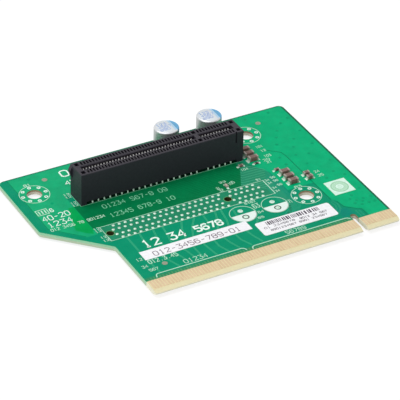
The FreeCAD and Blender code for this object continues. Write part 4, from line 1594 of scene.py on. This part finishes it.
@dataclass
class SpareSlot:
    """The place of the slot that isn't fitted: solder that fills its pin holes, and the rims
    of its peg holes."""

    land_radius: float = 0.5
    land: float = 0.03
    dome: float = 0.2
    peg_radius: float = 1.2
    rim_offset: float = 0.09
    rim_width: float = 0.16
    peg_places: Spots = ((-29.5, SPARE_SLOT_Y), (-69.65, SPARE_SLOT_Y))

    def build(self) -> None:
        """Adds the solder domes and the peg holes' rims."""
        turn = np.linspace(0, math.pi / 2, 6)
        profile = [(0.0, -SUNK), (self.land_radius, -SUNK)]
        profile += list(zip(self.land_radius * np.cos(turn), self.land + self.dome * np.sin(turn)))
        domes = lathe(profile, 14).copies(solder_places("spare_slot_solder", BOARD_TOP))
        add_piece("spare_slot_domes", domes, SOLDER, ("spare_slot_solder",))
        rim = ring(self.peg_radius + self.rim_offset, self.rim_width, *layer(Face.TOP, self.land), 30)
        rims = join([rim.copies(at(x, y)) for x, y in self.peg_places])
        add_piece("peg_hole_rims", rims, RIM_COPPER)


# ------------------------------------------------------------------ the capacitors
@dataclass
class CanCapacitors:
    """The two can capacitors and the bare places for two more."""

    rim: float = 0.5
    foot_round: float = 0.12
    wall: float = 0.75
    recess: float = 0.7
    groove_depth: float = 0.3
    groove_half: float = 0.55
    groove_above_foot: float = 1.6
    top_ring: Spots = ((0.62, 0.01), (0.7, 0.05), (0.82, 0.05), (0.9, 0.01))
    steps: int = 72
    figures: tuple[str, ...] = ("123", "4567", "890")
    figure: float = 1.1
    figure_stroke: float = 0.24
    row_pitch: float = 1.5
    row_start: float = 2.7
    land_levels: Pair = (21.65, 25.15)
    moat_radius: float = 0.93
    moat_width: float = 0.4
    moat_height: float = 0.05
    plug: Spots = ((0.0, -0.3), (0.47, -0.3), (0.47, 0.0), (0.4, 0.07), (0.22, 0.12), (0.0, 0.14))
    joint: Triple = (0.9, 0.58, 0.62)
    joint_tip: Spots = ((0.2, -0.69), (0.0, -0.7))

    def profile(self, edge: float, foot: float, top: float) -> Path:
        """Outline of a can from the middle of its underside: a rolled foot, a cosine crimp
        groove, a quarter-round rim and a top with a shallow ring round it.

        Args:
            edge: the can's radius.
            foot: height of its lower edge.
            top: height of its top.

        Returns:
            Radius and height of each point.
        """
        turn = np.linspace(0, math.pi / 2, 7)
        inner, roll = edge - self.wall, self.foot_round
        points = [(0.0, foot + self.recess), (inner, foot + self.recess), (inner, foot), (edge - roll, foot)]
        points += [(edge - roll + roll * math.sin(t), foot + roll - roll * math.cos(t)) for t in turn[2::2]]
        middle = foot + self.groove_above_foot
        for step in np.linspace(-1, 1, 11):
            depth = self.groove_depth * (1 + math.cos(math.pi * step)) / 2
            points.append((edge - depth, middle + step * self.groove_half))
        points += [(edge - self.rim * (1 - math.cos(t)), top - self.rim * (1 - math.sin(t))) for t in turn]
        points += [(edge - inwards, top - down) for inwards, down in self.top_ring]
        return points + [(0.0, top)]

    def build(self) -> None:
        """Adds the turned cans with their print, the leads' solder and the bare places."""
        centres = []
        for side in ("left", "right"):
            low, high = node_box(f"{side}_capacitor_can")
            middle = (low + high) / 2
            centres.append((middle[0], middle[1], (high[0] - low[0]) / 2, low[2], high[2]))
        finish = CanFinish(
            "drawn_can",
            (212, 214, 216),
            (198, 200, 203),
            0.4,
            metallic=0.65,
            grain=0.8,
            relief=0.002,
            stretch=(1.0, 1.0, 0.1),
            centres=tuple((float(x), float(y)) for x, y, *_ in centres),
        )
        for side, (x, y, edge, low, high) in zip(("left", "right"), centres):
            can = lathe(self.profile(edge, low, high), self.steps).copies(at(x, y))
            add_piece(f"{side}_turned_can", can, finish, (f"{side}_capacitor_can",))
            shells = [
                self.row_of(text, row, x, y).shell(*film_on(high))
                for row, text in enumerate(self.figures)
            ]
            add_piece(f"{side}_can_figures", join(shells), PRINT_BLUE)
            dress(f"{side}_capacitor_seal", SEAL)
            dress(f"{side}_capacitor_leads", WIRE)
        self.lead_solder()
        self.bare_places()

    def row_of(self, text: str, row: int, x: float, y: float) -> Number:
        """One of the rows of figures on the top of a can.

        Args:
            text: the row's figures.
            row: the row's number from the back, which is 0 for the first.
            x: the can's middle along the card edge.
            y: the can's middle across the card.

        Returns:
            The row.
        """
        level = y + self.figure - self.row_pitch * row
        length = self.figure * len(text)
        return Number(text, x - self.row_start, level, length, self.figure, self.figure_stroke)

    def bare_places(self) -> None:
        """Adds the moats and the plugs of the lands where no can is fitted."""
        dress("spare_capacitor_lands", TIN)
        middles = [x for x, _ in MarkingInk().can_places]
        moat = ring(self.moat_radius, self.moat_width, *layer(Face.TOP, self.moat_height), 30)
        moats = [moat.copies(at(x, self.land_levels[0])) for x in middles]
        add_piece("land_moats", join(moats), MOAT)
        spots = [(x, y, BOARD_TOP) for x in middles for y in self.land_levels]
        add_piece("land_plugs", lathe(list(self.plug), 16).copies(np.array(spots)), SOLDER)

    def lead_solder(self) -> None:
        """Adds hollow cones of solder round the leads' ends on the underside: the radius
        falls as the sine of the turn while the height grows as one less its cosine."""
        turn = np.linspace(0, math.pi / 2, 7)
        wide, narrowing, rise = self.joint
        radius = wide - narrowing * np.sin(turn)
        height = -rise * (1 - np.cos(turn))
        profile = [(0.0, SUNK), (wide, SUNK)] + list(zip(radius, height)) + list(self.joint_tip)
        joints = lathe(profile, 20).copies(solder_places("capacitor_lead_joints", BOARD_BOTTOM))
        add_piece("lead_fillets", joints, SOLDER, ("capacitor_lead_joints",))


# ------------------------------------------------------------------ the chips
@dataclass
class Chips:
    """The chip capacitors and the resistor, with their solder."""

    pale_chip: str = "filter_capacitor_2"
    flat_chip: str = "pull_up_resistor"
    edge: float = 0.12
    edge_share: float = 0.12
    overlap: float = 0.06
    body_short: float = 0.1
    fillet_reach: float = 0.5
    fillet_back: float = -0.08
    fillet_share: float = 0.55
    fillet_half: float = 0.48
    pinch: float = 0.45
    land_length: float = 0.62
    land_height: float = 0.12
    land_share: float = 1.04
    land_round: float = 0.04
    names: tuple[str, ...] = (
        "slot_capacitor_1", "slot_capacitor_2", "slot_capacitor_3",
        "rail_capacitor_1", "rail_capacitor_2", "rail_capacitor_3",
        "clock_capacitor_1", "clock_capacitor_2",
        "filter_capacitor_1", "filter_capacitor_2", "filter_capacitor_3", "pull_up_resistor",
    )

    def fillet(self, width: float, rise: float) -> Shell:
        """Solder from a terminal down to its land.

        It is a hollow quarter ellipse, x = a (1 - sin t) and z = b (1 - cos t), carried
        across the chip by s from -1 to 1 and drawn in by 1 - p s^4 towards both sides, with
        p the pinch.

        Args:
            width: the chip's width.
            rise: b, how high the solder climbs.

        Returns:
            The closed shell, about the foot of the terminal's face.
        """
        turn = np.linspace(0, math.pi / 2, 7)
        back, reach = self.fillet_back, self.fillet_reach
        curve = list(zip(reach * (1 - np.sin(turn)), rise * (1 - np.cos(turn))))
        x, z = np.array([(back, -SUNK), (reach, -SUNK)] + curve + [(back, rise)]).T
        across = np.linspace(-1, 1, 7)[:, None]
        swell = 1 - self.pinch * across**4
        y = np.broadcast_to(across * width * self.fillet_half, (len(across), len(x)))
        return loft(np.stack([x * np.where(x > 0, swell, 1.0), y, z * np.where(z > 0, swell, 1.0)], -1))

    def look_of(self, name: str) -> tuple[Finish, Slot]:
        """Finish and material slot of a chip's body.

        Args:
            name: the chip's name.

        Returns:
            The finish and the slot.
        """
        if name == self.flat_chip:
            return RESISTOR, Slot.RESISTOR
        return (PALE_CERAMIC if name == self.pale_chip else CERAMIC), Slot.CHIP

    def build(self) -> None:
        """Adds each chip's body and ends, then the solder of them all."""
        fillets, lands = [], []
        for name in self.names:
            low, high = node_box(f"{name}_terminals")
            size, middle = high - low, (high + low) / 2
            along = 0 if size[0] > size[1] else 1
            turn = along * math.pi / 2
            length, width, height = size[along], size[1 - along], size[2]
            body_low, body_high = node_box(f"{name}_body")
            terminal = (length - (body_high - body_low)[along]) / 2
            radius = min(self.edge, width * self.edge_share)
            body = (length - self.body_short, width - self.overlap, height - self.overlap)
            ceramic = rounded_block(body, radius).copies(middle, turn)
            cap = rounded_block((terminal + self.overlap, width, height), radius)
            offset = (length - terminal - self.overlap) / 2
            caps = cap.copies(np.array([(-offset, 0, 0), (offset, 0, 0)])).copies(middle, turn)
            finish, slot = self.look_of(name)
            add_piece(f"{name}_ceramic", ceramic, finish, (f"{name}_body",))
            add_piece(f"{name}_end_caps", caps, TERMINAL, (f"{name}_terminals",))
            fillet = self.fillet(width, height * self.fillet_share)
            land_size = (self.land_length, width * self.land_share, self.land_height)
            land = rounded_block(land_size, self.land_round)
            onward = self.land_length / 2 - self.land_round
            for angle in (turn, turn + math.pi):
                ray = np.array([math.cos(angle), math.sin(angle), 0.0])
                foot = np.array([middle[0], middle[1], BOARD_TOP]) + length / 2 * ray
                fillets.append(fillet.copies(foot, angle))
                lands.append(land.copies(foot + onward * ray, angle))
        add_piece("chip_fillets", join(fillets), SOLDER, ("chip_solder_joints",))
        add_piece("chip_lands", join(lands), TIN)


# ------------------------------------------------------------------ the labels
@dataclass
class Labels:
    """Paper labels with plain print: figures, bars and a ring."""

    top: float = 0.9
    bars: int = 27
    bar_seed: int = 23
    bar_widths: Triple = (0.2, 0.34, 0.52)
    gap_widths: Triple = (0.22, 0.3, 0.46)
    bars_left: float = -25.7
    bars_length: float = 18.2
    bars_y: Pair = (14.7, 16.55)
    rays: int = 22

    def bar_code(self) -> list[Shell]:
        """Upright bars, whose widths and gaps are drawn at random from three each, and scaled
        together to the length of the row.

        Returns:
            The bars from left to right.
        """
        rng = np.random.default_rng(self.bar_seed)
        widths = rng.choice(self.bar_widths, self.bars)
        gaps = rng.choice(self.gap_widths, self.bars)
        starts = np.concatenate([[0.0], np.cumsum(widths + gaps)[:-1]])
        scale = self.bars_length / (starts[-1] + widths[-1])
        left = self.bars_left + starts * scale
        return [
            ribbon([(x + w / 2, y) for y in self.bars_y], w, *film_on(self.top))
            for x, w in zip(left, widths * scale)
        ]

    def build(self) -> None:
        """Dresses the labels and adds their print."""
        for node in ("strip_label", "code_label"):
            dress(node, PAPER)
        dress("square_label", GREEN_PAPER)
        low, high = film_on(self.top)
        strip = Number("012-3456-789-01", -63.1, 16.1, 29.2, 2.1, 0.3)
        add_piece("strip_print", strip.shell(low, high), PRINT_GREY)
        small = [
            Number("01 2345678", -27.3, 13.3, 10.4, 0.8, 0.16),
            Number("9012 34 567", -15.2, 13.1, 9.4, 0.8, 0.18),
            Number("8901234567 8901 234567", -26.0, 11.6, 19.4, 0.8, 0.16),
        ]
        add_piece("code_bars", join(self.bar_code()), PRINT_BLACK)
        add_piece("code_figures", join([row.shell(low, high) for row in small]), PRINT_DARK)
        self.round_print(low, high)

    def round_print(self, low: float, high: float) -> None:
        """Adds rings and short rays on the square label.

        Args:
            low: height of the print's underside.
            high: height of its face.
        """
        middle = at(4.5, 22.95)
        broad = [ring(2.1, 1.3, low, high, 56), ring(0.55, 0.16, low, high, 28)]
        add_piece("round_print", join(broad).copies(middle), PRINT_GREEN)
        turn = 2 * math.pi * np.arange(self.rays) / self.rays
        ray = ribbon([(1.75, 0.0), (2.15, 0.0)], 0.22, low, high + 0.006)
        rays = ray.copies(np.zeros((self.rays, 3)), turn)
        lines = [ring(2.66, 0.42, low, high + 0.006, 56), ring(1.42, 0.2, low, high + 0.006, 44), rays]
        add_piece("round_print_lines", join(lines).copies(middle), PRINT_MOSS)


# ------------------------------------------------------------------ the studio
@dataclass
class Studio:
    """Floor, light and camera."""

    azimuth: float = -29.326
    elevation: float = 34.174
    roll: float = 1.393
    place: Triple = (-355.207, -529.975, 441.499)
    focal_share: float = 6.4416
    sensor: float = 36.0
    sight: Pair = (0.05, 50.0)
    target: Triple = (-38.0, 36.0, 0.0)
    key_place: Triple = (-250.0, 120.0, 700.0)
    key_power: float = 3.7
    fill_place: Triple = (-680.0, -360.0, 280.0)
    fill_power: float = 1.5
    lamp_size: float = 500.0
    world_light: float = 0.5
    floor_gap: float = 0.02
    floor_half: float = 4000.0
    floor_thickness: float = 5.0
    floor_pale: Pair = (0.84, 0.88)
    speckle_scale: float = 0.4
    floor_seen: float = 0.2
    floor_glow: float = 0.82

    def camera(self) -> None:
        """Sets the camera: it looks along minus b, with b = (sin a cos e, -cos a cos e, sin e),
        and turns about b by the roll."""
        a, e, roll = (math.radians(value) for value in (self.azimuth, self.elevation, self.roll))
        back = Vector((math.sin(a) * math.cos(e), -math.cos(a) * math.cos(e), math.sin(e)))
        level = Vector((math.cos(a), math.sin(a), 0.0))
        raised = back.cross(level)
        right = level * math.cos(roll) + raised * math.sin(roll)
        up = back.cross(right)
        data = bpy.data.cameras.new("camera")
        data.sensor_width = self.sensor
        data.lens = self.focal_share * self.sensor
        data.clip_start, data.clip_end = self.sight
        made = bpy.data.objects.new("camera", data)
        bpy.context.scene.collection.objects.link(made)
        turned = Matrix((right, up, back)).transposed().to_4x4()
        made.matrix_world = Matrix.Translation(Vector(self.place) * MM) @ turned
        bpy.context.scene.camera = made

    def area(self, name: str, place: Triple, power: float) -> None:
        """Adds a square soft lamp that faces the middle of the card.

        Args:
            name: the lamp's name.
            place: its middle, in millimetres.
            power: its power in watts.
        """
        data = bpy.data.lights.new(name, "AREA")
        data.shape, data.size, data.energy = "SQUARE", self.lamp_size * MM, power
        made = bpy.data.objects.new(name, data)
        bpy.context.scene.collection.objects.link(made)
        made.location = Vector(place) * MM
        back = Vector(place) * MM - Vector(self.target) * MM
        made.rotation_euler = back.to_track_quat("Z", "Y").to_euler()

    def seen(self, graph: Graph) -> Socket:
        """1 where a surface is looked at, in a mirror or through glass too, and 0 where it
        only lights others.

        Args:
            graph: the graph of the material or the world.

        Returns:
            The mask.
        """
        path = graph.node("LightPath")
        direct = graph.math("MAXIMUM", path.outputs["Is Camera Ray"], path.outputs["Is Glossy Ray"])
        return graph.math("MAXIMUM", direct, path.outputs["Is Transmission Ray"])

    def build(self) -> None:
        """Makes the floor, the white surround, the lamps and the camera."""
        world = bpy.data.worlds.new("surround")
        bpy.context.scene.world = world
        world.use_nodes = True
        graph = Graph(world.node_tree)
        light = {"Value": self.seen(graph), "To Min": self.world_light, "To Max": 1.0}
        strength = graph.node("MapRange", light).outputs["Result"]
        glow = graph.node("Background", {"Color": (1.0, 1.0, 1.0, 1.0), "Strength": strength})
        graph.node("OutputWorld", {"Surface": glow.outputs[0]})
        self.floor()
        self.area("key_lamp", self.key_place, self.key_power)
        self.area("fill_lamp", self.fill_place, self.fill_power)
        self.camera()
        bpy.context.scene.view_settings.view_transform = "Standard"

    def floor(self) -> None:
        """Pale floor just under the card."""
        top = CAD_BOX[0].z / MM - self.floor_gap
        corners = self.floor_half * np.array([(1, 1), (-1, 1), (-1, -1), (1, -1)])
        shell = plate(corners, top - self.floor_thickness, top)
        made = bpy.data.materials.new("pale_floor")
        made.use_nodes = True
        graph = Graph(made.node_tree)
        seen = self.seen(graph)
        speckle = graph.step(graph.noise(graph.place(), self.speckle_scale), *NOISE_SPAN)
        pale = graph.mix(speckle, *(grey(level) for level in self.floor_pale))
        cloth = graph.node("BsdfDiffuse", {"Color": graph.mix(seen, pale, grey(self.floor_seen))})
        glow = graph.node("Emission", {"Strength": graph.math("MULTIPLY", seen, self.floor_glow)})
        both = graph.node("AddShader", {0: cloth.outputs[0], 1: glow.outputs[0]})
        graph.node("OutputMaterial", {"Surface": both.outputs[0]})
        mesh = bpy.data.meshes.new("floor")
        mesh.from_pydata((shell.points * MM).tolist(), [], shell.faces.tolist())
        mesh.materials.append(made)
        ground = bpy.data.objects.new("floor", mesh)
        bpy.context.scene.collection.objects.link(ground)


def round_walls() -> tuple[Hole, ...]:
    """The round walls of the board: screw holes, open peg holes and the end of the key notch.

    Returns:
        Place, radius, colour at the mouth and colour below it, for each.
    """
    # The open peg holes' walls are painted shade: dark olive at the mouth and below it, for the shade inside
    # them.
    brown, pale, peg_hole_shade = (150, 132, 104), (232, 228, 212), (58, 58, 28)
    notch_radius, notch_ends = 0.97, (7.5, 6.6)
    screws, spare = MountingHoles(), SpareSlot()
    walls = [(x, y, screws.radius, brown, pale) for x, y in screws.places]
    walls += [(x, y, spare.peg_radius, peg_hole_shade, peg_hole_shade) for x, y in spare.peg_places]
    walls += [(0.0, y, notch_radius, brown, pale) for y in notch_ends]
    return tuple(walls)


def main() -> None:
    """Builds every sub-assembly in order."""
    logging.basicConfig(level=logging.INFO, format="%(name)s %(message)s")
    BareBoard(holes=round_walls()).build()
    MountingHoles().build()
    MarkingInk().build()
    CardSlot().build()
    SpareSlot().build()
    CanCapacitors().build()
    Chips().build()
    Labels().build()
    Studio().build()


if __name__ == "__main__":
    main()
